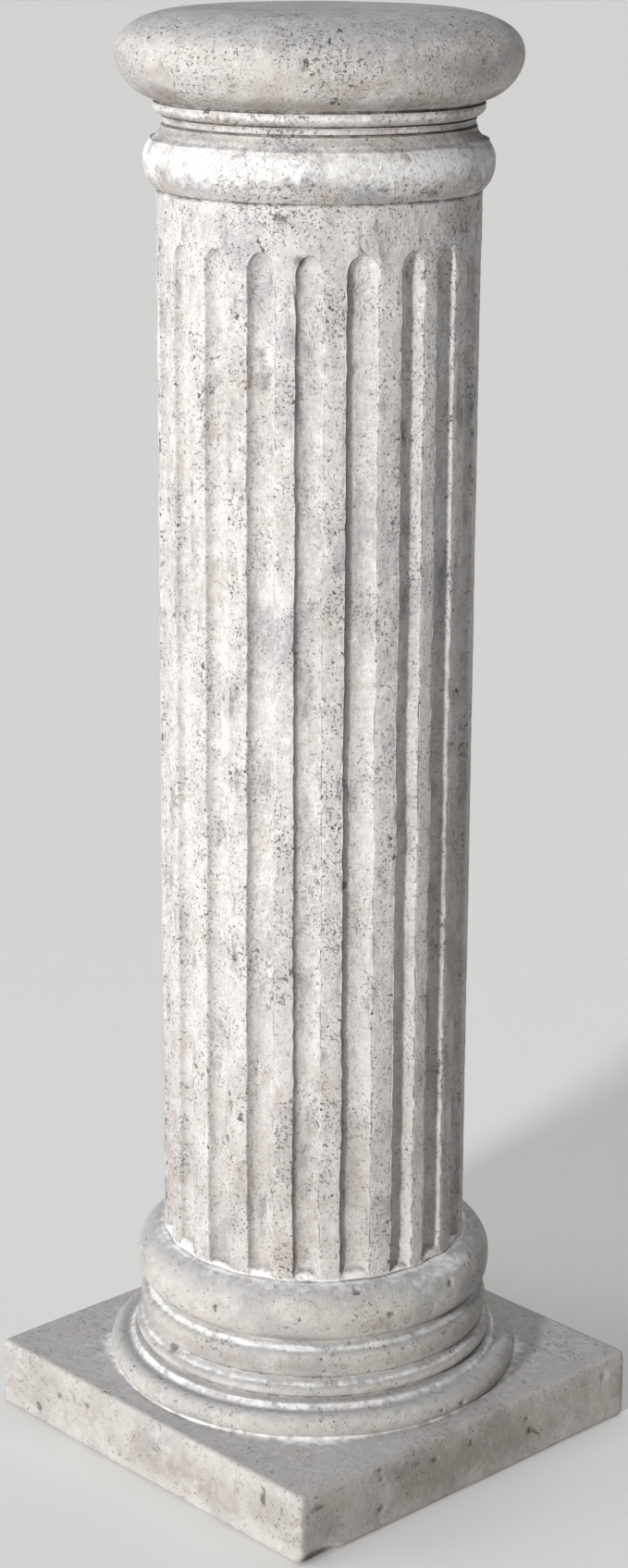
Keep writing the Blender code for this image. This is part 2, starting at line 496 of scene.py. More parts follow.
def finish_tree(
    tree: bpy.types.NodeTree,
    end: bpy.types.Node,
    skin: bpy.types.Node,
    marks: Mapping[str, NodeInput],
    material: bpy.types.NodeSocket,
) -> None:
    """End a piece's tree: store its marks, shade it smooth, realize it and give its stone.

    Args:
        tree: The piece's tree.
        end: Its output node.
        skin: The node that gives the worn skin.
        marks: The named attributes that the material reads.
        material: The tree's material input.
    """
    for name, value in marks.items():
        skin = add_node(tree, STORE, POINT_VALUE, {"Geometry": skin, "Name": name, "Value": value})
    shading = {"Geometry": skin, "Shade Smooth": True}
    smooth = add_node(tree, "GeometryNodeSetShadeSmooth", {}, shading)
    real = add_node(tree, "GeometryNodeRealizeInstances", {}, (smooth,))
    dressed = add_node(
        tree, "GeometryNodeSetMaterial", {}, {"Geometry": real, "Material": material}
    )
    connect_outputs(tree, end, {"Skin": dressed})


def bake_tree(
    item: bpy.types.Object, name: str, tree: bpy.types.NodeTree, values: Mapping[str, Any]
) -> bpy.types.Object:
    """Run a tree on an object and keep its result as a plain mesh.

    Args:
        item: The object whose points are the profile, which is removed afterwards.
        name: The finished piece's name.
        tree: The Geometry Nodes tree.
        values: The value of each named input.

    Returns:
        The finished piece, at the origin, with no modifier.
    """
    modifier = item.modifiers.new(name, "NODES")
    modifier.node_group = tree
    for socket in tree.interface.items_tree:
        if socket.item_type == "SOCKET" and socket.in_out == "INPUT" and socket.name in values:
            modifier[socket.identifier] = values[socket.name]
    bpy.context.view_layer.update()
    evaluated = item.evaluated_get(bpy.context.evaluated_depsgraph_get())
    mesh = bpy.data.meshes.new_from_object(evaluated)
    mesh.name = name
    bpy.data.objects.remove(item, do_unlink=True)
    piece = bpy.data.objects.new(name, mesh)
    bpy.context.scene.collection.objects.link(piece)
    return piece


def chosen(sizes: Mapping[str, tuple[str, Any]]) -> dict[str, Any]:
    """The values of a tree's named sizes, without their socket types."""
    return {name: value for name, (_, value) in sizes.items()}


@dataclass(frozen=True)
class Chip:
    """One break in the stone, placed by its angle from the camera's side and its height."""

    angle: float
    height: float
    half_width: float
    half_height: float
    depth: float


@dataclass(frozen=True)
class Daub:
    """One patch of wash, grime or umber, placed by its angle from the camera's side."""

    label: str
    angle: float
    height: float
    half_width: float
    half_height: float
    strength: float


def read_points(piece: bpy.types.Object) -> np.ndarray:
    """Read the places of a mesh's points.

    Args:
        piece: The mesh object.

    Returns:
        The places, one a row.
    """
    flat = np.empty(len(piece.data.vertices) * 3)
    piece.data.vertices.foreach_get("co", flat)
    return flat.reshape(-1, 3)


def distance_from(points: np.ndarray, mark: Union[Chip, Daub]) -> np.ndarray:
    """How far each point lies from a mark, where 1 is the mark's edge.

    Args:
        points: The places of the points.
        mark: The chip or daub.

    Returns:
        The distances, measured round the axis and upward.
    """
    radius = np.hypot(points[:, 0], points[:, 1])
    turn = np.arctan2(points[:, 1], points[:, 0]) - radians(FRONT + mark.angle)
    across = (turn + pi) % (2 * pi) - pi
    up = (points[:, 2] - mark.height) / mark.half_height
    return np.hypot(across * radius / mark.half_width, up)


BOWL_FULLNESS = 0.7


def carve(piece: bpy.types.Object, chips: Sequence[Chip]) -> None:
    """Press each chip inward towards the axis.

    Args:
        piece: The mesh object to carve.
        chips: The breaks, with sizes in metres and angles in degrees.
    """
    mesh = piece.data
    points = read_points(piece)
    marks = np.zeros(len(points), dtype=np.float32)
    mesh.attributes["pit"].data.foreach_get("value", marks)
    for chip in chips:
        bowl = np.clip(1.0 - distance_from(points, chip) ** 2, 0.0, 1.0) ** BOWL_FULLNESS
        radius = np.hypot(points[:, 0], points[:, 1])
        scale = 1.0 - chip.depth * bowl / np.maximum(radius, chip.depth)
        points[:, :2] *= scale[:, None]
        # The chip's hollow joins the pit mark, which the stone darkens with dirt and painted shade.
        marks = np.maximum(marks, bowl.astype(np.float32))
    mesh.vertices.foreach_set("co", points.ravel())
    mesh.attributes["pit"].data.foreach_set("value", marks)
    mesh.update()


def smear(piece: bpy.types.Object, daubs: Sequence[Daub]) -> None:
    """Lay each daub on a piece as a patch that fades outward.

    Args:
        piece: The mesh object.
        daubs: The patches, with sizes in metres and angles in degrees.
    """
    points = read_points(piece)
    for daub in daubs:
        target = piece.data.attributes[daub.label].data
        settled = np.zeros(len(points), dtype=np.float32)
        target.foreach_get("value", settled)
        patch = daub.strength * np.exp(-distance_from(points, daub) ** 2)
        target.foreach_set("value", np.maximum(settled, patch.astype(np.float32)))


@dataclass(frozen=True)
class Stain:
    """One tone that clouds the stone, as patches of a real size in millimetres."""

    colour: str
    millimetres: float
    begins: float
    full: float
    strength: float
    stretch: float = 1.0


@dataclass(frozen=True)
class Pitting:
    """Ragged open holes of one size, crowded together in patches."""

    millimetres: float
    begins: float
    depth: float
    darkness: float


@dataclass(frozen=True)
class Wrinkles:
    """Short crooked slits, left where the drying slurry shrank in its mould."""

    millimetres: float
    half_width: float
    begins: float
    depth: float
    darkness: float


@dataclass(frozen=True)
class CastStone:
    """Cast stone, poured in a mould of crushed stone and cement, then washed and aged.

    The eye sees a chalky matt skin with no gloss, clouded from off-white to cool grey,
    with small ragged air holes and short slits darkened by dirt and painted shade, grime and
    painted shade in its creases and on the flutes' left walls, dust and painted shade on what
    faces up, white wash in its crevices, and pale arrises that are rubbed wear and painted
    highlight. Real grains are about 0.5 mm across, too fine for the render to show, so the
    grain is drawn at 1.5 mm.
    """

    name: str
    body: str
    # The dark colour of dirt, and of the painted shade in holes, creases and flute walls.
    dirt_and_shade: str
    umber: str
    wash: str
    # The grey of dust and painted shade on what faces up, and how strongly it covers.
    dust_and_shade_colour: str
    dust_and_shade_strength: float
    stains: tuple[Stain, ...]
    pitting: tuple[Pitting, ...]
    wrinkles: tuple[Wrinkles, ...]
    grain_depth: float
    lump_depth: float
    speckle: float
    grain_millimetres: float = 1.5
    lump_millimetres: float = 5.5
    patch_millimetres: float = 22
    crowd_millimetres: float = 30
    ragged_edge: float = 0.05
    # How dark the painted shade on the flutes' left walls is.
    wall_shade_coat: float = 0.55
    # How pale the arrises turn, as rubbed wear and painted highlight.
    arris_rub_and_highlight: float = 0.5
    hollow_shelter: float = 0.45
    roughness: float = 0.92
    gloss: float = 0.25

    def clouded(self, tree: bpy.types.NodeTree, spot: bpy.types.NodeSocket) -> NodeInput:
        """Cloud the body colour with each stain in turn.

        Args:
            tree: The material's tree.
            spot: The place on the stone.

        Returns:
            The clouded colour.
        """
        tint: NodeInput = linear(self.body)
        for number, stain in enumerate(self.stains):
            moved = (0.31 * number,) * 3
            drawn = add_node(
                tree,
                MAPPING,
                {},
                {"Vector": spot, "Location": moved, "Scale": (1.0, 1.0, stain.stretch)},
            )
            scale = per_metre(stain.millimetres)
            cloud = add_node(
                tree, NOISE, {}, {"Vector": drawn, "Scale": scale, "Detail": 6.0, "Roughness": 0.62}
            )
            limits = (cloud, stain.begins, stain.full, 0.0, stain.strength)
            cover = add_node(tree, RANGE, SMOOTH_STEP, limits)
            colour = linear(stain.colour)
            tint = add_node(tree, MIX, COLOUR_MIX, {"Factor": cover, "A": tint, "B": colour})
        return tint

    def dusted_shaded_and_rubbed(
        self, tree: bpy.types.NodeTree, tint: NodeInput, marks: Mapping[str, NodeInput]
    ) -> NodeInput:
        """Grey what faces up with dust and painted shade, paint shade on the flutes' left walls,
        and whiten the arrises as rubbed wear and painted highlight.

        Args:
            tree: The material's tree.
            tint: The stone's colour so far.
            marks: The piece's attributes by name.

        Returns:
            The colour with the dust and painted shade on top, the painted wall shade and the pale,
            highlighted arrises.
        """
        facing = add_node(tree, "ShaderNodeNewGeometry").outputs["Normal"]
        upward = add_node(tree, SEPARATE, {}, (facing,)).outputs["Z"]
        # Dust and painted shade: what faces up turns grey.
        dust_and_shade_cover = add_node(tree, RANGE, SMOOTH_STEP, (upward, 0.35, 0.95, 0.0, self.dust_and_shade_strength))
        # Painted shade on the flutes' left walls, towards the dark colour.
        wall_shade_cover = add_node(tree, MATH, MULTIPLY, (marks["wall"], self.wall_shade_coat))
        # Pale arrises: rubbed wear and painted highlight.
        edge = add_node(tree, MATH, MULTIPLY, (marks["arris"], self.arris_rub_and_highlight))
        for cover, colour in ((dust_and_shade_cover, self.dust_and_shade_colour), (wall_shade_cover, self.dirt_and_shade), (edge, self.wash)):
            coat = {"Factor": cover, "A": tint, "B": linear(colour)}
            tint = add_node(tree, MIX, COLOUR_MIX, coat)
        return tint

    def speckled(
        self,
        tree: bpy.types.NodeTree,
        tint: NodeInput,
        grain: bpy.types.Node,
        lumps: bpy.types.Node,
    ) -> NodeInput:
        """Lighten and darken the colour with the grain and the lumps.

        Args:
            tree: The material's tree.
            tint: The stone's colour so far.
            grain: The fine pattern.
            lumps: The coarse pattern.

        Returns:
            The speckled colour.
        """
        darkest, palest = 1.0 - self.speckle, 1.0 + self.speckle * 0.6
        for pattern, low, high in ((grain, 0.30, 0.70), (lumps, 0.32, 0.68)):
            shade = add_node(tree, RANGE, {}, (pattern, low, high, darkest, palest))
            flecks = add_node(tree, "ShaderNodeCombineColor", {}, (shade, shade, shade))
            tint = add_node(
                tree,
                MIX,
                {**COLOUR_MIX, "blend_type": "MULTIPLY"},
                {"Factor": 1.0, "A": tint, "B": flecks},
            )
        return tint

    def holes(
        self, tree: bpy.types.NodeTree, spot: bpy.types.NodeSocket, exposed: bpy.types.Node
    ) -> list[tuple[bpy.types.Node, float, float]]:
        """Find every pit and slit.

        Args:
            tree: The material's tree.
            spot: The place on the stone.
            exposed: How open the stone lies there to weather, from 0 to 1.

        Returns:
            For each kind of hole, how deep a point lies in it, the depth and the darkness.
        """
        scale = per_metre(self.crowd_millimetres)
        crowd = add_node(tree, NOISE, {}, {"Vector": spot, "Scale": scale, "Detail": 3.0})
        found = []
        for number, pits in enumerate(self.pitting):
            moved = (0.7 + 0.4 * number,) * 3
            drawn = add_node(tree, MAPPING, {}, {"Vector": spot, "Location": moved})
            scale = per_metre(pits.millimetres)
            torn = add_node(
                tree, NOISE, {}, {"Vector": drawn, "Scale": scale, "Detail": 2.5, "Roughness": 0.6}
            )
            eased = add_node(tree, RANGE, {}, (crowd, 0.36, 0.66, -0.03, 0.05))
            lifted = add_node(tree, MATH, ADD, (torn, eased))
            limits = (lifted, pits.begins, pits.begins + self.ragged_edge, 0.0, 1.0)
            hole = add_node(tree, RANGE, SMOOTH_STEP, limits)
            found.append((hole, pits))
        for number, slits in enumerate(self.wrinkles):
            moved = (1.9 + 0.4 * number,) * 3
            drawn = add_node(tree, MAPPING, {}, {"Vector": spot, "Location": moved})
            scale = per_metre(slits.millimetres)
            bent = add_node(
                tree, NOISE, {}, {"Vector": drawn, "Scale": scale, "Detail": 1.5, "Distortion": 0.4}
            )
            centred = add_node(tree, MATH, SUBTRACT, (bent, 0.5))
            away = add_node(tree, MATH, ABSOLUTE, (centred,))
            line = add_node(tree, RANGE, SMOOTH_STEP, (away, slits.half_width, 0.0, 0.0, 1.0))
            scale = per_metre(slits.millimetres * 0.8)
            short = add_node(tree, NOISE, {}, {"Vector": drawn, "Scale": scale, "Detail": 2.0})
            eased = add_node(tree, RANGE, {}, (crowd, 0.36, 0.66, -0.04, 0.06))
            lifted = add_node(tree, MATH, ADD, (short, eased))
            limits = (lifted, slits.begins, slits.begins + self.ragged_edge, 0.0, 1.0)
            piece = add_node(tree, RANGE, {}, limits)
            found.append((add_node(tree, MATH, MULTIPLY, (line, piece)), slits))
        bared = []
        for hole, kind in found:
            bare = add_node(tree, MATH, MULTIPLY, (hole, exposed))
            bared.append((bare, kind.depth, kind.darkness))
        return bared

    def soiled_and_shaded(
        self,
        tree: bpy.types.NodeTree,
        tint: NodeInput,
        marks: Mapping[str, NodeInput],
        patterns: tuple[bpy.types.Node, bpy.types.NodeSocket],
    ) -> NodeInput:
        """Lay umber, wash, grime with painted shade in the creases and flute walls, and dirt with
        painted shade in the pits and chips, all with ragged edges.

        Args:
            tree: The material's tree.
            tint: The stone's colour so far.
            marks: The piece's attributes by name.
            patterns: The coarse lumps and the place on the stone.

        Returns:
            The soiled colour.
        """
        lumps, spot = patterns
        scale = per_metre(self.patch_millimetres)
        patches = add_node(tree, NOISE, {}, {"Vector": spot, "Scale": scale, "Detail": 2.0})
        thinned = add_node(tree, RANGE, {}, (patches, 0.38, 0.60, 0.72, 1.10))
        for label, colour, begins, full, most in (
            ("umber", self.umber, 0.70, 1.50, 0.80),
            # Pits and chips take dirt and painted shade; the grime lines take grime and painted
            # shade.
            ("pit", self.dirt_and_shade, 0.75, 1.45, 0.75),
            ("grime", self.dirt_and_shade, 0.75, 1.40, 0.80),
            ("wash", self.wash, 0.76, 1.42, 0.97),
        ):
            patchy = add_node(tree, MATH, MULTIPLY, (marks[label], thinned))
            ragged = add_node(tree, MATH, ADD, (lumps, patchy))
            cover = add_node(tree, RANGE, SMOOTH_STEP, (ragged, begins, full, 0.0, most))
            coat = {"Factor": cover, "A": tint, "B": linear(colour)}
            tint = add_node(tree, MIX, COLOUR_MIX, coat)
        return tint

    def material(self) -> bpy.types.Material:
        """Build the stone's material.

        Returns:
            A material whose patterns lie on Object coordinates.
        """
        material = bpy.data.materials.new(self.name)
        material.use_nodes = True
        tree = material.node_tree
        tree.nodes.clear()
        spot = add_node(tree, "ShaderNodeTexCoord").outputs["Object"]
        marks = {}
        for label in (*SETTLED, "pit", "arris", "hollow", "wall"):
            attribute = add_node(tree, "ShaderNodeAttribute", {"attribute_name": label})
            marks[label] = attribute.outputs["Fac"]
        sheltered = (marks["hollow"], -self.hollow_shelter, 1.0)
        exposed = add_node(tree, MATH, MULTIPLY_ADD, sheltered)
        scale = per_metre(self.grain_millimetres)
        grain = add_node(
            tree, NOISE, {}, {"Vector": spot, "Scale": scale, "Detail": 4.0, "Roughness": 0.7}
        )
        scale = per_metre(self.lump_millimetres)
        lumps = add_node(
            tree, NOISE, {}, {"Vector": spot, "Scale": scale, "Detail": 5.0, "Roughness": 0.62}
        )
        tint = self.dusted_shaded_and_rubbed(tree, self.clouded(tree, spot), marks)
        tint = self.speckled(tree, tint, grain, lumps)
        relief = {"Strength": 1.0, "Distance": self.grain_depth, "Height": grain}
        normal = add_node(tree, BUMP, {}, relief)
        relief = {"Strength": 1.0, "Distance": self.lump_depth, "Height": lumps, "Normal": normal}
        normal = add_node(tree, BUMP, {}, relief)
        # Each hole darkens towards the dark colour: dirt and painted shade in the holes.
        for hole, depth, darkness in self.holes(tree, spot, exposed):
            soiled_and_shaded = add_node(tree, MATH, MULTIPLY, (hole, darkness))
            shadow = {"Factor": soiled_and_shaded, "A": tint, "B": linear(self.dirt_and_shade)}
            tint = add_node(tree, MIX, COLOUR_MIX, shadow)
            relief = {"Strength": 1.0, "Distance": depth, "Height": hole, "Normal": normal}
            normal = add_node(tree, BUMP, {"invert": True}, relief)
        shader = add_node(
            tree,
            "ShaderNodeBsdfPrincipled",
            {},
            {
                "Base Color": self.soiled_and_shaded(tree, tint, marks, (lumps, spot)),
                "Roughness": self.roughness,
                "Normal": normal,
                "Specular IOR Level": self.gloss,
            },
        )
        add_node(tree, "ShaderNodeOutputMaterial", {}, {"Surface": shader})
        return material


# Coarse stone cast dry and left outdoors: off-white, mottled down the shaft, full of air holes.
AGED_COLUMN = CastStone(
    name="cast_stone_aged_column",
    body="dad7d4",
    dirt_and_shade="4c4846",
    umber="9d928b",
    wash="f3f2f1",
    dust_and_shade_colour="a9a9ac",
    dust_and_shade_strength=0.75,
    stains=(
        Stain("aaa9ac", 60, 0.46, 0.72, 0.62, 0.6),
        Stain("c6bab0", 34, 0.52, 0.70, 0.55),
        Stain("e7e5e3", 17, 0.50, 0.66, 0.75, 0.6),
        Stain("c5b3ac", 24, 0.58, 0.74, 0.45),
        Stain("858388", 12, 0.54, 0.74, 0.70, 0.4),
        Stain("8c8a90", 6, 0.56, 0.76, 0.55, 0.16),
        Stain("efeeed", 4, 0.56, 0.70, 0.45, 0.5),
    ),
    pitting=(
        Pitting(2.0, 0.640, 0.0006, 0.60),
        Pitting(5.5, 0.695, 0.0009, 0.80),
    ),
    wrinkles=(
        Wrinkles(2.6, 0.045, 0.600, 0.0005, 0.50),
        Wrinkles(7.0, 0.014, 0.615, 0.0005, 0.60),
    ),
    grain_depth=0.00045,
    lump_depth=0.0009,
    speckle=0.17,
)

# The shaft's own mix, weathered round the cap instead of down it, so its clouds lie level.
AGED_CAPITAL = replace(
    AGED_COLUMN,
    name="cast_stone_aged_capital",
    body="d3d0cc",
    stains=(
        Stain("a5a4a8", 60, 0.46, 0.70, 0.75, 1.6),
        Stain("c0b3aa", 34, 0.50, 0.68, 0.60, 1.6),
        Stain("e2e0de", 17, 0.52, 0.68, 0.60, 1.8),
        Stain("b9a8a0", 24, 0.56, 0.72, 0.55, 1.8),
        Stain("858388", 10, 0.56, 0.76, 0.60, 2.2),
        Stain("efeeed", 4, 0.58, 0.72, 0.40, 1.5),
    ),
)

# A finer pour rubbed with white wash: smooth and greyer, grey on top with dust and painted shade,
# and white in its crevices.
WASHED_BASE = CastStone(
    name="cast_stone_washed_base",
    body="c4c1bc",
    dirt_and_shade="55504b",
    umber="9a9189",
    wash="f2f2f2",
    dust_and_shade_colour="b6b6b8",
    dust_and_shade_strength=0.6,
    stains=(
        Stain("a9a8a8", 46, 0.46, 0.68, 0.75),
        Stain("bab2a9", 30, 0.52, 0.70, 0.55),
        Stain("d6d4d2", 15, 0.52, 0.68, 0.60),
        Stain("979492", 9, 0.54, 0.76, 0.60),
        Stain("8a8785", 4, 0.56, 0.78, 0.50, 0.5),
    ),
    pitting=(
        Pitting(2.4, 0.670, 0.0005, 0.50),
        Pitting(6.0, 0.735, 0.0009, 0.75),
    ),
    wrinkles=(
        Wrinkles(5.0, 0.022, 0.600, 0.0003, 0.45),
    ),
    grain_depth=0.00030,
    lump_depth=0.0006,
    speckle=0.10,
)


@dataclass(frozen=True)
class Flute:
    """How one flute of the shaft departs from the regular layout."""

    drift: float
    head_shift: float
    foot_fill: float
    width: float


@dataclass(frozen=True)
class Waver:
    """One way in which a flute's edges waver: how fine it is and how far it swings, in radians."""

    scale: float
    detail: float
    swing: float


@dataclass
class FluteTree:
    """The tree that cuts the flutes, wears their arrises and weathers the stone.

    The first half of a flute's columns lies in its cut and the second half on the land beside
    it. Each method adds the nodes of one step and keeps what the later steps need. It is given
    the socket type and the value of each of the shaft's named sizes.
    """

    given: Mapping[str, tuple[str, Any]]
    half_turn: float = 0.5
    nudge: float = 1e-4
    wavers: tuple[Waver, ...] = (Waver(1.3, 1.0, 0.030), Waver(11.0, 3.0, 0.022))
    narrowest_head: float = 0.1
    neck_reach: float = 0.012
    shift_reach: float = 0.05
    plaster_lumps: float = 40.0
    plaster_ragged: float = 0.008
    plaster_thickness: float = 0.85
    arris_share: float = 0.10
    wall_radius: float = 0.06
    # How much painted shade each flute's left wall adds to the grime mark.
    wall_shade_share: float = 0.50
    shelter: float = 0.7

    def __post_init__(self) -> None:
        """Start the tree and turn the profile."""
        inputs = {
            "Profile": ("Geometry", None),
            "Layout": ("Object", None),
            "Stone": ("Material", None),
            **self.given,
        }
        self.tree, start, self.end = new_geometry_tree(
            "fluted_shaft", inputs, {"Skin": "Geometry"}
        )
        self.sizes = start.outputs
        per, count = self.sizes["Columns Per Flute"], self.sizes["Flute Count"]
        segments = add_node(self.tree, MATH, MULTIPLY, (per, count))
        self.sweep = add_node(
            self.tree,
            GROUP,
            {"node_tree": sweep_group()},
            {"Profile": self.sizes["Profile"], "Segments": segments},
        ).outputs

    def find_section(self) -> None:
        """Find each column's flute, and where it lies on the flute's rounded section."""
        tree, sizes = self.tree, self.sizes
        self.pitch = add_node(tree, MATH, DIVIDE, (2 * pi, sizes["Flute Count"]))
        ratio = add_node(tree, MATH, DIVIDE, (self.sweep["Column"], sizes["Columns Per Flute"]))
        nudged = add_node(tree, MATH, ADD, (ratio, self.nudge))
        self.number = add_node(tree, MATH, FLOOR, (nudged,))
        self.along = add_node(tree, MATH, SUBTRACT, (ratio, self.number))
        self.turn = add_node(tree, MATH, MULTIPLY, (self.along, 2 * pi))
        squareness = add_node(tree, MATH, DIVIDE, (2.0, sizes["Flute Fullness"]))
        section = []
        for operation in (COSINE, SINE):
            plain = add_node(tree, MATH, operation, (self.turn,))
            size = add_node(tree, MATH, ABSOLUTE, (plain,))
            fuller = add_node(tree, MATH, POWER, (size, squareness))
            side = add_node(tree, MATH, SIGN, (plain,))
            section.append(add_node(tree, MATH, MULTIPLY, (fuller, side)))
        self.wave, self.lift = section
        last_cut = self.half_turn + self.nudge
        self.in_flute = add_node(tree, MATH, LESS_THAN, (self.along, last_cut))

    def find_heads(self) -> None:
        """Narrow each flute into its round head, and open the lands again in the neck."""
        tree, height = self.tree, self.sweep["Height"]
        top = self.sizes["Flute Top"]
        self.spring = add_node(tree, MATH, SUBTRACT, (top, self.sizes["Head Rise"]))
        into_head = add_node(tree, RANGE, {}, (height, self.spring, top, 0.0, 1.0))
        squared = add_node(tree, MATH, MULTIPLY, (into_head, into_head))
        rest = add_node(tree, MATH, {**SUBTRACT, "use_clamp": True}, (1.0, squared))
        self.narrowing = add_node(tree, MATH, SQRT, (rest,))
        crown = add_node(tree, MATH, MAXIMUM, (self.narrowing, self.narrowest_head))
        self.neck = add_node(tree, MATH, ADD, (top, self.neck_reach))
        opening = add_node(tree, RANGE, SMOOTH_STEP, (height, top, self.neck, 0.0, 1.0))
        width = add_node(tree, MIX, VALUE, {"Factor": opening, "A": crown, "B": 1.0})
        half_pitch = add_node(tree, MATH, MULTIPLY, (self.pitch, 0.5))
        full_half = add_node(tree, MATH, MULTIPLY, (half_pitch, self.sizes["Flute Share"]))
        self.half = add_node(tree, MATH, MULTIPLY, (full_half, width))

    def read_layout(self) -> None:
        """Read how each flute and the next one depart from the regular layout."""
        tree = self.tree
        layout = add_node(tree, "GeometryNodeObjectInfo", {}, (self.sizes["Layout"],))
        marks = layout.outputs["Geometry"]
        spot = add_node(tree, POSITION)
        own_width = add_node(tree, READ, VALUE, ("width",))
        self.following = add_node(tree, MATH, ADD, (self.number, 1.0))
        count = self.sizes["Flute Count"]
        wrapped = add_node(tree, MATH, FLOORED_MODULO, (self.following, count))
        self.facts, self.halves = [], []
        for index in (self.number, wrapped):
            at_spot = {"Geometry": marks, "Value": spot, "Index": index}
            found = add_node(tree, SAMPLE, POINT_VECTOR, at_spot)
            self.facts.append(add_node(tree, SEPARATE, {}, (found,)).outputs)
            at_width = {"Geometry": marks, "Value": own_width, "Index": index}
            width = add_node(tree, SAMPLE, POINT_VALUE, at_width)
            self.halves.append(add_node(tree, MATH, MULTIPLY, (self.half, width)))

    def draw_edges(self) -> None:
        """Draw the wavering edges of each flute, and the first edge of the next one."""
        tree = self.tree
        self.edges = []
        own, following = self.number, self.following
        for index, which, side in ((own, 0, -1.0), (own, 0, 1.0), (following, 1, -1.0)):
            drift = self.facts[which]["X"]
            home = add_node(tree, MATH, MULTIPLY_ADD, (index, self.pitch, drift))
            edge = add_node(tree, MATH, MULTIPLY_ADD, (self.halves[which], side, home))
            east = add_node(tree, MATH, COSINE, (edge,))
            north = add_node(tree, MATH, SINE, (edge,))
            tall = add_node(tree, MATH, MULTIPLY, (self.sweep["Height"], 10.0))
            line = add_node(tree, COMBINE, {}, (east, north, tall))
            for waver in self.wavers:
                fine = {"Vector": line, "Scale": waver.scale, "Detail": waver.detail}
                noise = add_node(tree, NOISE, {}, fine)
                swing = (noise, waver.swing, -waver.swing / 2)
                bent = add_node(tree, MATH, MULTIPLY_ADD, swing)
                edge = add_node(tree, MATH, ADD, (edge, bent))
            self.edges.append(edge)

    def set_angles(self) -> None:
        """Spread the columns between the edges: the first half in the cut, the rest on the land."""
        tree = self.tree
        first, second, third = self.edges
        share_in = add_node(tree, MATH, MULTIPLY_ADD, (self.wave, -0.5, 0.5))
        cut = add_node(tree, MIX, VALUE, {"Factor": share_in, "A": first, "B": second})
        past = add_node(tree, MATH, COSINE, (self.turn,))
        rising = add_node(tree, MATH, MULTIPLY_ADD, (past, 0.5, 0.5))
        first_land = self.half_turn - self.nudge
        beyond = add_node(tree, MATH, GREATER_THAN, (self.along, first_land))
        self.share_out = add_node(tree, MATH, MULTIPLY, (rising, beyond))
        land = add_node(tree, MIX, VALUE, {"Factor": self.share_out, "A": second, "B": third})
        self.local = add_node(tree, MIX, VALUE, {"Factor": self.in_flute, "A": land, "B": cut})
        self.angle = add_node(tree, MATH, ADD, (self.local, self.sizes["First Flute"]))

    def fill_feet(self) -> None:
        """Fill the foot of each flute with ragged plaster."""
        tree, fill = self.tree, self.facts[0]["Y"]
        above_foot = add_node(tree, MATH, SUBTRACT, (self.sweep["Height"], self.sizes["Foot"]))
        sides = add_node(tree, COMBINE, {}, (self.local, 0.0, above_foot))
        lumps = add_node(
            tree, NOISE, {}, {"Vector": sides, "Scale": self.plaster_lumps, "Detail": 2.0}
        )
        ragged = add_node(tree, MATH, MULTIPLY_ADD, (lumps, self.plaster_ragged, above_foot))
        lowered = add_node(tree, MATH, SUBTRACT, (ragged, self.plaster_ragged / 2))
        full = add_node(tree, MATH, MULTIPLY, (fill, 0.5))
        self.plaster = add_node(tree, RANGE, SMOOTH_STEP, (lowered, fill, full, 0.0, 1.0))
        filled = (self.plaster, -self.plaster_thickness, 1.0)
        self.unfilled = add_node(tree, MATH, MULTIPLY_ADD, filled)

    def wear_arrises(self) -> bpy.types.Node:
        """Bite the arrises away unevenly.

        Returns:
            How much stone is lost at each point.
        """
        tree = self.tree
        other_edge = add_node(tree, MATH, SUBTRACT, (1.0, self.share_out))
        to_edge = add_node(tree, MATH, MINIMUM, (self.share_out, other_edge))
        on_land = add_node(tree, RANGE, {}, (to_edge, 0.0, self.arris_share, 1.0, 0.0))
        steep = add_node(tree, MATH, ABSOLUTE, (self.wave,))
        in_cut = add_node(tree, RANGE, {}, (steep, 0.96, 1.0, 0.0, 1.0))
        arris = add_node(tree, MIX, VALUE, {"Factor": self.in_flute, "A": on_land, "B": in_cut})
        self.below_head = add_node(tree, MATH, GREATER_THAN, (self.narrowing, 0.02))
        self.arris = add_node(tree, MATH, MULTIPLY, (arris, self.below_head))
        bites = add_node(tree, COMBINE, {}, (self.local, 0.0, self.sweep["Height"]))
        bitten = add_node(tree, NOISE, {}, {"Vector": bites, "Scale": per_metre(9), "Detail": 3.0})
        bite = add_node(tree, RANGE, {}, (bitten, 0.35, 0.7, 0.25, 1.6))
        loss = add_node(tree, MATH, MULTIPLY, (bite, self.sizes["Edge Wear"]))
        return add_node(tree, MATH, MULTIPLY, (loss, self.arris))

    def cut_flutes(self) -> None:
        """Cut the hollows and the worn arrises out of the drum."""
        tree, drum = self.tree, self.sweep["Radius"]
        self.bowl = add_node(tree, MATH, MULTIPLY, (self.lift, self.in_flute))
        arched = add_node(tree, MATH, MULTIPLY, (self.bowl, self.narrowing))
        self.hollow = add_node(tree, MATH, MULTIPLY, (arched, self.unfilled))
        depth = add_node(tree, MATH, MULTIPLY, (self.hollow, self.sizes["Flute Depth"]))
        lost = add_node(tree, MATH, ADD, (depth, self.wear_arrises()))
        left = add_node(tree, MATH, SUBTRACT, (drum, lost))
        is_wall = add_node(tree, MATH, GREATER_THAN, (drum, self.wall_radius))
        self.radius = add_node(tree, MIX, VALUE, {"Factor": is_wall, "A": drum, "B": left})

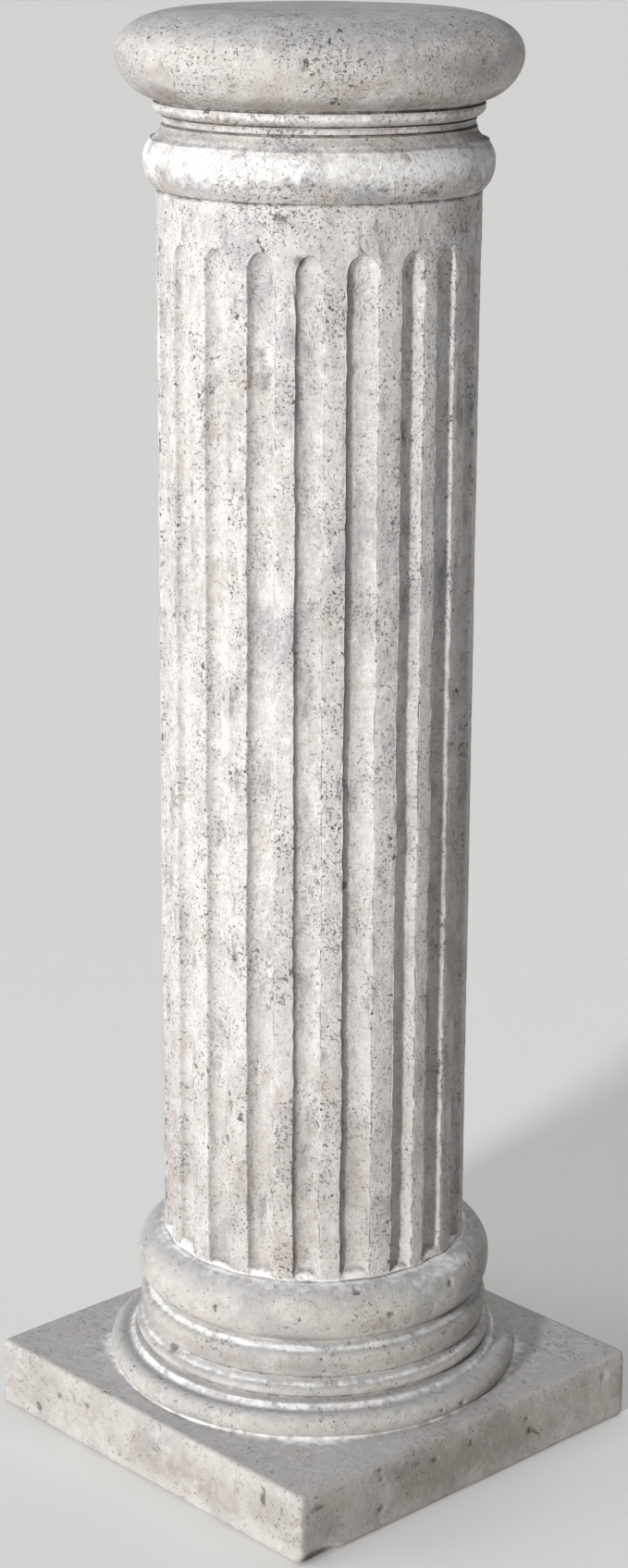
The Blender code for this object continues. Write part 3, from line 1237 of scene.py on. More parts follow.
    def shift_heads(self) -> None:
        """Raise or lower each flute's head a little, as the mould left it."""
        tree, height = self.tree, self.sweep["Height"]
        own, other = self.facts[0]["Z"], self.facts[1]["Z"]
        between = add_node(tree, MIX, VALUE, {"Factor": self.share_out, "A": own, "B": other})
        shift = add_node(tree, MIX, VALUE, {"Factor": self.in_flute, "A": between, "B": own})
        low = add_node(tree, MATH, SUBTRACT, (self.spring, self.shift_reach))
        below = add_node(tree, RANGE, SMOOTH_STEP, (height, low, self.spring, 0.0, 1.0))
        fade = (height, self.sizes["Flute Top"], self.neck, 1.0, 0.0)
        above = add_node(tree, RANGE, SMOOTH_STEP, fade)
        window = add_node(tree, MATH, MULTIPLY, (below, above))
        self.height = add_node(tree, MATH, MULTIPLY_ADD, (shift, window, height))

    def marks(self) -> dict[str, NodeInput]:
        """Find the marks on the stone: wash on the plaster, and painted shade on each flute's
        left-hand wall.

        Returns:
            The attributes that the stone's material reads.
        """
        tree, sweep = self.tree, self.sweep
        on_plaster = add_node(tree, MATH, MULTIPLY, (self.plaster, self.bowl))
        wash = add_node(tree, MATH, MAXIMUM, (sweep["Wash"], on_plaster))
        # Painted shade on each flute's left wall, strongest on the shaded side of the shaft.
        by_wall = add_node(tree, RANGE, SMOOTH_STEP, (self.wave, 0.50, 0.96, 0.0, 1.0))
        in_wall = add_node(tree, MATH, MULTIPLY, (by_wall, self.in_flute))
        off_side = add_node(tree, MATH, SUBTRACT, (self.angle, self.sizes["Shade Side"]))
        facing_it = add_node(tree, MATH, COSINE, (off_side,))
        shade_side_weight = add_node(tree, RANGE, {}, (facing_it, 0.0, 0.8, 0.20, 1.0))
        shaded_wall = add_node(tree, MATH, MULTIPLY, (in_wall, shade_side_weight))
        wall = add_node(tree, MATH, MULTIPLY, (shaded_wall, self.below_head))
        soiled_and_shaded = add_node(tree, MATH, MULTIPLY, (wall, self.wall_shade_share))
        grime = add_node(tree, MATH, MAXIMUM, (sweep["Grime"], soiled_and_shaded))
        return {
            "wash": wash,
            "grime": grime,
            "umber": sweep["Umber"],
            "hollow": self.hollow,
            "wall": wall,
            "arris": self.arris,
        }

    def finish(self) -> bpy.types.NodeTree:
        """Add every step in order, then place, weather and dress the skin.

        Returns:
            The whole tree.
        """
        for step in (
            self.find_section,
            self.find_heads,
            self.read_layout,
            self.draw_edges,
            self.set_angles,
            self.fill_feet,
            self.cut_flutes,
            self.shift_heads,
        ):
            step()
        tree = self.tree
        east = add_node(tree, MATH, COSINE, (self.angle,))
        north = add_node(tree, MATH, SINE, (self.angle,))
        x = add_node(tree, MATH, MULTIPLY, (east, self.radius))
        y = add_node(tree, MATH, MULTIPLY, (north, self.radius))
        place = add_node(tree, COMBINE, {}, (x, y, self.height))
        marked = self.sweep["Drum"]
        for name, value in self.marks().items():
            stored = {"Geometry": marked, "Name": name, "Value": value}
            marked = add_node(tree, STORE, POINT_VALUE, stored)
        shaped = add_node(tree, MOVE, {}, {"Geometry": marked, "Position": place})
        kept = add_node(tree, READ, VALUE, ("hollow",))
        sheltered = add_node(tree, MATH, MULTIPLY, (kept, self.shelter))
        weathered = add_node(
            tree,
            GROUP,
            {"node_tree": weather_group()},
            {
                "Skin": shaped,
                "Wave Depth": 0.0006,
                "Grain Length": 0.006,
                "Grain Depth": 0.0006,
                "Pit Spacing": 0.0075,
                "Pit Depth": 0.0012,
                "Pit Share": 0.10,
                "Pit Stretch": 0.85,
                "Shelter": sheltered,
                "Seed": 4.0,
            },
        )
        finish_tree(tree, self.end, weathered, {}, self.sizes["Stone"])
        return tree


@dataclass
class Shaft:
    """The fluted shaft with its plain neck, up to the crease under the bead.

    Flutes are numbered anticlockwise from the plinth's corner, and 12 to 19 face the camera.
    """

    radius: float = 0.0970
    foot: float = 0.1361
    neck_top: float = 0.7975
    flute_count: int = 20
    columns_per_flute: int = 20
    flute_share: float = 0.55
    flute_depth: float = 0.0068
    flute_fullness: float = 2.15
    flute_top: float = 0.7685
    head_rise: float = 0.0120
    first_flute: float = 45.0
    edge_wear: float = 0.0005
    # The shaded side, 50 degrees right of the camera's side, where the flute walls take the most
    # painted shade.
    shade_side: float = 50.0
    row_spacing: float = 0.0030
    fine_spacing: float = 0.0014
    foot_zone: float = 0.0100
    core: float = 0.040
    head_angles: tuple[int, ...] = (15, 30, 43, 55, 65, 74, 81, 85)
    chips: tuple[Chip, ...] = (
        Chip(-13.2, 0.7883, 0.0042, 0.0028, 0.0013),
        Chip(-11.6, 0.7866, 0.0022, 0.0022, 0.0010),
        Chip(-6.3, 0.7650, 0.0050, 0.0044, 0.0013),
        Chip(-53.4, 0.6981, 0.0026, 0.0042, 0.0012),
        Chip(-35.8, 0.2217, 0.0028, 0.0046, 0.0013),
        Chip(10.9, 0.3924, 0.0030, 0.0044, 0.0016),
        Chip(-17.9, 0.3122, 0.0024, 0.0036, 0.0010),
        Chip(33.3, 0.6635, 0.0024, 0.0050, 0.0010),
        Chip(-37.6, 0.5040, 0.0020, 0.0040, 0.0010),
    )
    daubs: tuple[Daub, ...] = (
        Daub("grime", -13.0, 0.7880, 0.0060, 0.0040, 0.60),
        Daub("umber", -11.5, 0.7870, 0.0140, 0.0060, 0.75),
        Daub("grime", -5.2, 0.6560, 0.0045, 0.0200, 0.50),
        Daub("umber", 33.3, 0.6635, 0.0035, 0.0140, 0.90),
        Daub("grime", -59.0, 0.6900, 0.0060, 0.0280, 0.42),
        Daub("grime", -39.0, 0.7230, 0.0045, 0.0120, 0.45),
        Daub("grime", 47.0, 0.7050, 0.0060, 0.0200, 0.45),
        Daub("umber", -34.0, 0.1900, 0.0600, 0.0600, 0.62),
        Daub("umber", 14.0, 0.2000, 0.0500, 0.0700, 0.60),
        Daub("umber", 60.0, 0.3600, 0.0500, 0.2600, 0.66),
    )

    def rows(self) -> list[Row]:
        """The profile's rows, fine at the foot and round the flute heads.

        Returns:
            The rows, from inside the foot to inside the neck's top.
        """
        spring = self.flute_top - self.head_rise
        wall = [(self.radius, self.foot, 0.0), (self.radius, self.foot + self.foot_zone, 0.0)]
        rows = [Row(self.core, self.foot), Row(self.radius, self.foot)]
        rows += line_rows(wall, self.fine_spacing)
        rows += line_rows([wall[-1], (self.radius, spring, 0.0)], self.row_spacing)
        for angle in self.head_angles:
            rows.append(Row(self.radius, spring + self.head_rise * sin(radians(angle))))
        above = [(self.radius, self.flute_top + 0.0002, 0.0), (self.radius, self.neck_top, 0.0)]
        rows.append(Row(self.radius, self.flute_top))
        rows += line_rows(above, self.fine_spacing)
        rows.append(Row(self.core, self.neck_top))
        return settle(rows, self.deposits())

    def deposits(self) -> list[Deposit]:
        """Grime and painted shade in the crease under the bead, wash on the bedding line and a
        stain low on the shaft.

        Returns:
            The shaft's deposits.
        """
        return [
            # Grime and painted shade in the crease under the bead.
            Deposit(self.radius, self.neck_top - 0.0015, 0.0018, grime=0.75),
            Deposit(self.radius, self.foot, 0.0022, wash=1.0),
            Deposit(self.radius, self.foot + 0.03, 0.2000, umber=0.56),
        ]

    def layout(self) -> list[Flute]:
        """Each flute's drift in radians, head shift and plaster height in metres, and width.

        Returns:
            One entry for each flute, anticlockwise from the plinth's corner.
        """
        chance = random.Random(7)
        flutes = []
        drifts = {12: -0.5, 13: -0.3, 14: -0.5, 15: -1.3, 16: -1.0, 17: 0.3, 18: -1.7, 19: -1.3}
        widths = {15: 0.95, 16: 1.09, 17: 0.92}
        for number in range(self.flute_count):
            drift = radians(drifts.get(number, chance.uniform(-1.0, 1.0)))
            shift = chance.uniform(-1.5, 1.5) * MILLIMETRE
            fill = chance.uniform(3.0, 9.0) * MILLIMETRE
            width = widths.get(number, chance.uniform(0.96, 1.05))
            flutes.append(Flute(drift, shift, fill, width))
        return flutes

    def sizes(self) -> dict[str, tuple[str, Any]]:
        """List the tree's named sizes.

        Returns:
            The socket type and the value of each.
        """
        return {
            "Columns Per Flute": ("Int", self.columns_per_flute),
            "Flute Count": ("Int", self.flute_count),
            "Flute Share": ("Float", self.flute_share),
            "Flute Depth": ("Float", self.flute_depth),
            "Flute Fullness": ("Float", self.flute_fullness),
            "Flute Top": ("Float", self.flute_top),
            "Head Rise": ("Float", self.head_rise),
            "Foot": ("Float", self.foot),
            "First Flute": ("Float", radians(self.first_flute)),
            "Edge Wear": ("Float", self.edge_wear),
            "Shade Side": ("Float", radians(FRONT + self.shade_side)),
        }

    def build(self, stone: bpy.types.Material) -> bpy.types.Object:
        """Build the shaft.

        Args:
            stone: The column's material.

        Returns:
            The finished piece.
        """
        layout = bpy.data.meshes.new("flute_layout")
        flutes = self.layout()
        layout.from_pydata([(f.drift, f.foot_fill, f.head_shift) for f in flutes], [], [])
        widths = layout.attributes.new("width", "FLOAT", "POINT").data
        widths.foreach_set("value", [f.width for f in flutes])
        marks = bpy.data.objects.new("flute_layout", layout)
        bpy.context.scene.collection.objects.link(marks)
        sizes = self.sizes()
        values = {"Layout": marks, "Stone": stone, **chosen(sizes)}
        profile = profile_object("shaft_profile", self.rows())
        piece = bake_tree(profile, "fluted_shaft", FluteTree(sizes).finish(), values)
        bpy.data.objects.remove(marks, do_unlink=True)
        carve(piece, self.chips)
        smear(piece, self.daubs)
        return piece


@dataclass
class Turned:
    """What the two turned pieces share: how finely they are cut and how worn they are."""

    name: str = "turned_piece"
    segments: int = 480
    wobble: float = 0.0006
    corner_power: float = 90.0
    corner_crowding: float = 0.6
    wave_depth: float = 0.0008
    grain_depth: float = 0.0003
    pit_spacing: float = 0.007
    pit_depth: float = 0.0010
    pit_share: float = 0.10
    seed: float = 0.0
    chips: tuple[Chip, ...] = ()
    daubs: tuple[Daub, ...] = ()

    def rows(self) -> list[Row]:
        """The profile's rows, which each turned piece gives for itself."""
        raise NotImplementedError

    def sizes(self) -> dict[str, tuple[str, Any]]:
        """List the tree's named sizes.

        Returns:
            The socket type and the value of each.
        """
        return {
            "Segments": ("Int", self.segments),
            "Wobble": ("Float", self.wobble),
            "Corner Power": ("Float", self.corner_power),
            "Wave Depth": ("Float", self.wave_depth),
            "Grain Depth": ("Float", self.grain_depth),
            "Pit Spacing": ("Float", self.pit_spacing),
            "Pit Depth": ("Float", self.pit_depth),
            "Pit Share": ("Float", self.pit_share),
            "Seed": ("Float", self.seed),
        }

    def tree(self) -> bpy.types.NodeTree:
        """The tree that turns a profile, squares its plinth rows and weathers the stone.

        Returns:
            The Geometry Nodes tree.
        """
        inputs = {"Profile": ("Geometry", None), "Stone": ("Material", None), **self.sizes()}
        tree, start, end = new_geometry_tree(self.name, inputs, {"Skin": "Geometry"})
        sizes = start.outputs
        sweep = add_node(
            tree,
            GROUP,
            {"node_tree": sweep_group()},
            {"Profile": sizes["Profile"], "Segments": sizes["Segments"]},
        ).outputs
        share = add_node(tree, MATH, DIVIDE, (sweep["Column"], sizes["Segments"]))
        even = add_node(tree, MATH, MULTIPLY, (share, 2 * pi))
        four = add_node(tree, MATH, MULTIPLY, (even, 4.0))
        swing = add_node(tree, MATH, SINE, (four,))
        crowding = add_node(tree, MATH, MULTIPLY, (swing, self.corner_crowding / 4))
        drawn = add_node(tree, MATH, MULTIPLY, (crowding, sweep["Square"]))
        angle = add_node(tree, MATH, ADD, (even, drawn))
        east = add_node(tree, MATH, COSINE, (angle,))
        north = add_node(tree, MATH, SINE, (angle,))
        powers = []
        for axis in (east, north):
            size = add_node(tree, MATH, ABSOLUTE, (axis,))
            powers.append(add_node(tree, MATH, POWER, (size, sizes["Corner Power"])))
        summed = add_node(tree, MATH, ADD, (powers[0], powers[1]))
        root = add_node(tree, MATH, DIVIDE, (-1.0, sizes["Corner Power"]))
        stretch = add_node(tree, MATH, POWER, (summed, root))
        reach = add_node(tree, MIX, VALUE, {"Factor": sweep["Square"], "A": 1.0, "B": stretch})
        tall = add_node(tree, MATH, MULTIPLY, (sweep["Height"], 25.0))
        ring = add_node(tree, COMBINE, {}, (east, north, tall))
        hand = add_node(tree, NOISE, {}, {"Vector": ring, "Scale": 2.2, "Detail": 2.0})
        loss = add_node(tree, MATH, MULTIPLY, (hand, sizes["Wobble"]))
        trimmed = add_node(tree, MATH, SUBTRACT, (sweep["Radius"], loss))
        kept = add_node(tree, MATH, MAXIMUM, (trimmed, POLE))
        radius = add_node(tree, MATH, MULTIPLY, (kept, reach))
        x = add_node(tree, MATH, MULTIPLY, (east, radius))
        y = add_node(tree, MATH, MULTIPLY, (north, radius))
        place = add_node(tree, COMBINE, {}, (x, y, sweep["Height"]))
        marked = sweep["Drum"]
        for label in SETTLED:
            stored = {"Geometry": marked, "Name": label, "Value": sweep[label.capitalize()]}
            marked = add_node(tree, STORE, POINT_VALUE, stored)
        shaped = add_node(tree, MOVE, {}, {"Geometry": marked, "Position": place})
        wear = {"Skin": shaped, "Grain Length": 0.006}
        for label in ("Wave Depth", "Grain Depth", "Pit Spacing", "Pit Depth", "Pit Share", "Seed"):
            wear[label] = sizes[label]
        weathered = add_node(tree, GROUP, {"node_tree": weather_group()}, wear)
        plain = {"arris": 0.0, "hollow": 0.0, "wall": 0.0}
        finish_tree(tree, end, weathered, plain, sizes["Stone"])
        return tree

    def build(self, stone: bpy.types.Material) -> bpy.types.Object:
        """Turn the piece, then chip and soil it.

        Args:
            stone: The piece's material.

        Returns:
            The finished piece.
        """
        values = {"Stone": stone, **chosen(self.sizes())}
        profile = profile_object(self.name + "_profile", self.rows())
        piece = bake_tree(profile, self.name, self.tree(), values)
        carve(piece, self.chips)
        smear(piece, self.daubs)
        return piece


def angle_at(centre: tuple[float, float], radii: tuple[float, float], radius: float) -> float:
    """The angle in degrees, between 0 and 180, at which an ellipse reaches a radius."""
    return degrees(acos((radius - centre[0]) / radii[0]))


@dataclass
class Capital(Turned):
    """The bead, the grooved fillets and the cushion-shaped cap."""

    name: str = "turned_capital"
    neck_radius: float = 0.0970
    core: float = 0.0500
    bead_seat: float = 0.0040
    bead_centre: tuple[float, float] = (0.0902, 0.8130)
    bead_lower: tuple[float, float] = (0.01455, 0.0195)
    bead_upper: tuple[float, float] = (0.01455, 0.0164)
    bead_top: float = 0.1004
    bead_rest: float = 0.0954
    ridge: tuple[float, float] = (0.0996, 0.8254)
    ridge_fall: tuple[float, float] = (0.0012, 0.0019)
    cove_foot: float = 0.8290
    cove_depth: float = 0.0006
    cove_steps: int = 6
    line_half_width: float = 0.0004
    line_depths: tuple[float, float, float] = (0.0004, 0.0016, 0.0018)
    groove_height: float = 0.8340
    lower_fillet: tuple[float, float] = (0.0926, 0.8378)
    upper_fillet: tuple[float, float] = (0.0983, 0.8474)
    fillet_round: float = 0.0042
    fillet_edge: float = 0.0008
    cap_radius: float = 0.1205
    cap_widest: float = 0.8737
    cap_under: tuple[float, float] = (0.0930, 0.0268)
    under_fullness: float = 1.8
    cap_flat: float = 0.0700
    cap_fullness: float = 2.25
    height: float = 0.9000
    spacing: float = 0.0016
    line_spacing: float = 0.0006
    edge_spacing: float = 0.0007
    top_spacing: float = 0.0025
    chips: tuple[Chip, ...] = (
        Chip(-3.5, 0.8750, 0.0024, 0.0042, 0.0016),
        Chip(-4.4, 0.8722, 0.0020, 0.0024, 0.0010),
        Chip(-13.0, 0.8062, 0.0040, 0.0018, 0.0009),
        Chip(21.0, 0.8050, 0.0050, 0.0020, 0.0009),
    )
    daubs: tuple[Daub, ...] = (
        Daub("umber", 48.0, 0.8680, 0.0300, 0.0200, 0.72),
        Daub("umber", 58.0, 0.8480, 0.0300, 0.0100, 0.80),
        Daub("umber", -55.0, 0.8540, 0.0350, 0.0080, 0.85),
        Daub("grime", -9.0, 0.8064, 0.0160, 0.0030, 0.50),
        Daub("grime", 14.0, 0.8060, 0.0200, 0.0030, 0.50),
        Daub("grime", 38.0, 0.8020, 0.0200, 0.0040, 0.55),
        Daub("grime", 12.0, 0.8950, 0.0500, 0.0030, 0.38),
    )

    def bead_rows(self) -> list[Row]:
        """The rows from inside the neck, out to its crease and round the bead.

        Returns:
            The rows up to the top of the bead.
        """
        start = angle_at(self.bead_centre, self.bead_lower, self.neck_radius)
        end = angle_at(self.bead_centre, self.bead_upper, self.bead_top)
        lower = arc_rows(self.bead_centre, self.bead_lower, -start, 0, self.spacing)
        upper = arc_rows(self.bead_centre, self.bead_upper, 0, end, self.spacing)
        inside = (POLE, self.core, self.neck_radius - self.bead_seat)
        return [Row(radius, lower[0].height) for radius in inside] + lower + upper[1:]

    def line_cut(self, radius: float, height: float, depth: float) -> list[Corner]:
        """The corners of a fine line cut into the collar.

        Args:
            radius: The radius of the stone beside the line.
            height: The height of the line's middle.
            depth: How deep it is cut.

        Returns:
            The cut's three corners.
        """
        lip = self.line_half_width
        return [
            (radius, height - lip, 0.0),
            (radius - depth, height, 0.0),
            (radius, height + lip, 0.0),
        ]

    def cove_corners(self) -> list[Corner]:
        """The corners of the shallow hollow between the ridge and the groove.

        Returns:
            The corners, lowest first.
        """
        inner = self.lower_fillet[0] + 0.0010
        top = self.groove_height - 0.0006
        corners = []
        for step in range(self.cove_steps + 1):
            share = step / self.cove_steps
            hollow = self.cove_depth * sin(pi * share)
            radius = self.bead_rest + (inner - self.bead_rest) * share - hollow
            height = self.cove_foot + (top - self.cove_foot) * share
            corners.append((radius, height, 0.0))
        return corners

    def collar_rows(self, bead_end: Row) -> list[Row]:
        """The rows of the collar: the ridge, the cove, the lines and the two fillets.

        Args:
            bead_end: The bead's last row.

        Returns:
            The rows above it, up to the underside of the cap.
        """
        (low_radius, low_top), (high_radius, high_top) = self.lower_fillet, self.upper_fillet
        shallow, deep, deepest = self.line_depths
        fall_in, fall_up = self.ridge_fall
        corners = [(bead_end.radius, bead_end.height, 0.0)]
        corners += self.line_cut(bead_end.radius - 0.0002, bead_end.height + 0.0009, shallow)
        corners.append((self.ridge[0], self.ridge[1], 0.0))
        corners.append((self.bead_rest + fall_in, self.ridge[1] + fall_up, 0.0))
        corners += self.cove_corners()
        corners += self.line_cut(low_radius + 0.0004, self.groove_height, deep)
        corners.append((low_radius + 0.0002, self.groove_height + 0.0008, 0.0))
        corners.append((low_radius, low_top - 0.0003, 0.0))
        corners += self.line_cut(low_radius + 0.0006, low_top + 0.0004, deepest)
        rows = line_rows(corners, self.line_spacing)
        centre = (high_radius - self.fillet_round, low_top + 0.0012 + self.fillet_round)
        radii = (self.fillet_round, self.fillet_round)
        rows += arc_rows(centre, radii, -80, 0, self.edge_spacing, 1.5)
        rim = [
            (high_radius, centre[1], 0.0),
            (high_radius, high_top - self.fillet_edge, 0.0),
            (high_radius - 0.0014, high_top - 0.0001, 0.0),
        ]
        return rows + line_rows(rim, self.edge_spacing)

    def cap_rows(self) -> list[Row]:
        """The rows of the cap, from its underside over the edge to the middle of its top.

        Returns:
            The rows above the collar.
        """
        under_centre = (self.cap_under[0], self.cap_widest)
        under_radii = (self.cap_radius - self.cap_under[0], self.cap_under[1])
        over_centre = (self.cap_flat, self.cap_widest)
        over_radii = (self.cap_radius - self.cap_flat, self.height - self.cap_widest)
        start = angle_at(under_centre, under_radii, self.upper_fillet[0] - self.fillet_edge)
        rows = arc_rows(under_centre, under_radii, -start, 0, self.spacing, self.under_fullness)
        rows += arc_rows(over_centre, over_radii, 0, 90, self.spacing, self.cap_fullness)[1:]
        top = [(self.cap_flat, self.height, 0.0), (0.0010, self.height, 0.0)]
        return rows + line_rows(top, self.top_spacing)

    def deposits(self, crease: float) -> list[Deposit]:
        """What has settled on the capital.

        Args:
            crease: The height of the crease under the bead.

        Returns:
            Grime and painted shade in the lines, umber on the bead, cove and cap, and wash on what
            stands out.
        """
        low, high = self.lower_fillet, self.upper_fillet
        brow = (self.bead_centre[0] + self.bead_lower[0], self.bead_centre[1] + 0.005)
        return [
            # The grime lines in the crease, the collar's cut lines and under the cap are grime and
            # painted shade.
            Deposit(self.neck_radius, crease, 0.0022, grime=0.85),
            Deposit(self.neck_radius + 0.004, crease + 0.003, 0.0050, umber=0.50),
            Deposit(self.cap_radius, self.cap_widest - 0.004, 0.0240, umber=0.42),
            Deposit(low[0] - 0.0012, self.groove_height, 0.0009, grime=0.95),
            Deposit(low[0] - 0.0012, low[1] + 0.0004, 0.0010, grime=0.95),
            Deposit(high[0] - 0.0010, high[1], 0.0015, grime=0.90),
            Deposit(high[0] + 0.0080, high[1] + 0.003, 0.0100, umber=0.85),
            Deposit(self.bead_rest - 0.001, self.cove_foot + 0.0025, 0.0025, umber=0.65),
            Deposit(high[0], (low[1] + high[1]) / 2 + 0.001, 0.003, wash=0.60),
            Deposit(self.ridge[0], self.ridge[1], 0.003, wash=0.60),
            Deposit(brow[0], brow[1], 0.015, wash=0.86),
        ]

    def rows(self) -> list[Row]:
        """The profile's rows, from inside the neck to the middle of the top.

        Returns:
            The rows with what has settled on them.
        """
        bead = self.bead_rows()
        rows = bead + self.collar_rows(bead[-1]) + self.cap_rows()
        return settle(rows, self.deposits(bead[0].height))


@dataclass
class Base(Turned):
    """The square plinth with its round mouldings, cast as one."""

    name: str = "moulded_base"
    side: float = 0.291
    plinth_height: float = 0.0463
    edge: float = 0.0032
    lower_torus: tuple[float, float] = (0.1244, 0.0527)
    lower_torus_radius: float = 0.0082
    fillet: tuple[float, float] = (0.1190, 0.0632)
    fillet_seat: float = 0.0035
    fillet_steps: tuple[tuple[float, float], ...] = (
        (0.0004, -0.0029),
        (-0.0002, -0.0012),
        (-0.0014, -0.0009),
        (-0.0019, 0.0003),
        (-0.0032, 0.0006),
    )
    lower_band: tuple[float, float] = (0.1144, 0.0730)
    lower_band_foot: float = 0.0656
    lower_band_roll: float = 0.0013
    upper_band: tuple[float, float] = (0.1096, 0.0946)
    upper_band_foot: float = 0.0766
    upper_band_roll: float = 0.0030
    band_fullness: float = 2.1
    undercut: float = 0.0030
    ledge_inset: float = 0.0064
    upper_torus: tuple[float, float] = (0.0940, 0.1178)
    torus_lower_radii: tuple[float, float] = (0.0202, 0.0190)
    torus_upper_radii: tuple[float, float] = (0.0202, 0.0182)
    torus_fullness: float = 2.8
    bed: float = 0.1358
    bed_hidden: float = 0.086
    spacing: float = 0.0012
    face_spacing: float = 0.0019
    bed_spacing: float = 0.0030
    hidden_spacing: float = 0.0300
    underside_spacing: float = 0.0350
    plinth_rings: int = 30
    chips: tuple[Chip, ...] = (
        Chip(-77.4, 0.0265, 0.0030, 0.0040, 0.0014),
        Chip(-68.7, 0.0304, 0.0026, 0.0034, 0.0012),
        Chip(-83.3, 0.0103, 0.0028, 0.0038, 0.0012),
        Chip(64.1, 0.0196, 0.0030, 0.0036, 0.0014),
        Chip(30.9, 0.0307, 0.0034, 0.0030, 0.0012),
        Chip(14.7, 0.0349, 0.0026, 0.0026, 0.0010),
        Chip(84.0, 0.0340, 0.0030, 0.0036, 0.0012),
        Chip(0.9, 0.0350, 0.0060, 0.0030, 0.0008),
        Chip(1.0, 0.0020, 0.0140, 0.0060, 0.0040),
    )
    daubs: tuple[Daub, ...] = (
        Daub("wash", 52.0, 0.1325, 0.0320, 0.0050, 0.95),
        Daub("wash", -8.0, 0.1350, 0.0500, 0.0030, 0.60),
        Daub("umber", -72.0, 0.1210, 0.0100, 0.0070, 0.80),
        Daub("umber", 22.0, 0.1120, 0.0400, 0.0080, 0.70),
        Daub("grime", 20.0, 0.0330, 0.0220, 0.0100, 0.40),
        Daub("umber", -30.0, 0.0200, 0.0900, 0.0200, 0.78),
        Daub("umber", 42.0, 0.0230, 0.1100, 0.0280, 0.95),
    )

    def face_rows(self) -> list[Row]:
        """The square rows, from the middle of the underside round both edges of the face.

        Returns:
            The rows up to the edge of the plinth's top.
        """
        half, edge = self.side / 2, self.edge
        top_edge = self.plinth_height - edge
        leans = [radians(turn) for turn in (30, 60, 90)]
        rows = line_rows([(0.001, 0.0, 1.0), (half - edge, 0.0, 1.0)], self.underside_spacing)
        for lean in leans:
            rows.append(Row(half - edge * (1 - sin(lean)), edge * (1 - cos(lean)), 1.0))
        rows += line_rows([(half, edge, 1.0), (half, top_edge, 1.0)], self.face_spacing)
        for lean in leans:
            rows.append(Row(half - edge * (1 - cos(lean)), top_edge + edge * sin(lean), 1.0))
        return rows

    def torus_rows(self) -> list[Row]:
        """The rows of the lower torus, from the plinth's top to the foot of the fillet.

        Returns:
            The torus's rows, lowest first.
        """
        radii = (self.lower_torus_radius, self.lower_torus_radius)
        foot = degrees(asin((self.plinth_height - self.lower_torus[1]) / radii[1]))
        inner = angle_at(self.lower_torus, radii, self.fillet[0] + self.fillet_seat)
        return arc_rows(self.lower_torus, radii, foot, inner, self.spacing)

    def top_rows(self, inner: float) -> list[Row]:
        """The rows across the plinth's top, which turn from square to round.

        Args:
            inner: The radius at which the lower torus begins.

        Returns:
            The rows between the plinth's edge and the torus.
        """
        span = self.side / 2 - self.edge - inner
        rows = []
        for ring in range(1, self.plinth_rings):
            share = 1 - ring / self.plinth_rings
            rows.append(Row(inner + span * share, self.plinth_height, share**0.8))
        return rows

    def band_rows(self, torus_end: Row) -> list[Row]:
        """The rows up the fillet's steps and round the two bands.

        Args:
            torus_end: The lower torus's last row.

        Returns:
            The rows above it, up to the ledge under the upper torus.
        """
        corners = [(torus_end.radius, torus_end.height, 0.0)]
        for out, up in self.fillet_steps:
            corners.append((self.fillet[0] + out, self.fillet[1] + up, 0.0))
        under_band = (self.lower_band[0] - self.undercut, self.lower_band_foot - 0.0006, 0.0)
        corners.append(under_band)
        rows = line_rows(corners, self.spacing)
        for foot, band, roll in (
            (self.lower_band_foot, self.lower_band, self.lower_band_roll),
            (self.upper_band_foot, self.upper_band, self.upper_band_roll),
        ):
            centre = (band[0] - self.undercut, (foot + band[1]) / 2)
            radii = (roll + self.undercut, (band[1] - foot) / 2)
            rows += arc_rows(centre, radii, -90, 70, self.spacing, self.band_fullness)
        return rows

    def crown_rows(self) -> list[Row]:
        """The rows of the upper torus's shoulder and of the bed that the column stands on.

        Returns:
            The rows above the torus's widest one.
        """
        rise = degrees(asin((self.bed - self.upper_torus[1]) / self.torus_upper_radii[1]))
        rows = arc_rows(self.upper_torus, self.torus_upper_radii, 0, rise, self.spacing)[1:]
        hidden = (self.bed_hidden, self.bed, 0.0)
        rows += line_rows([(rows[-1].radius, self.bed, 0.0), hidden], self.bed_spacing)
        return rows + line_rows([hidden, (0.001, self.bed, 0.0)], self.hidden_spacing)

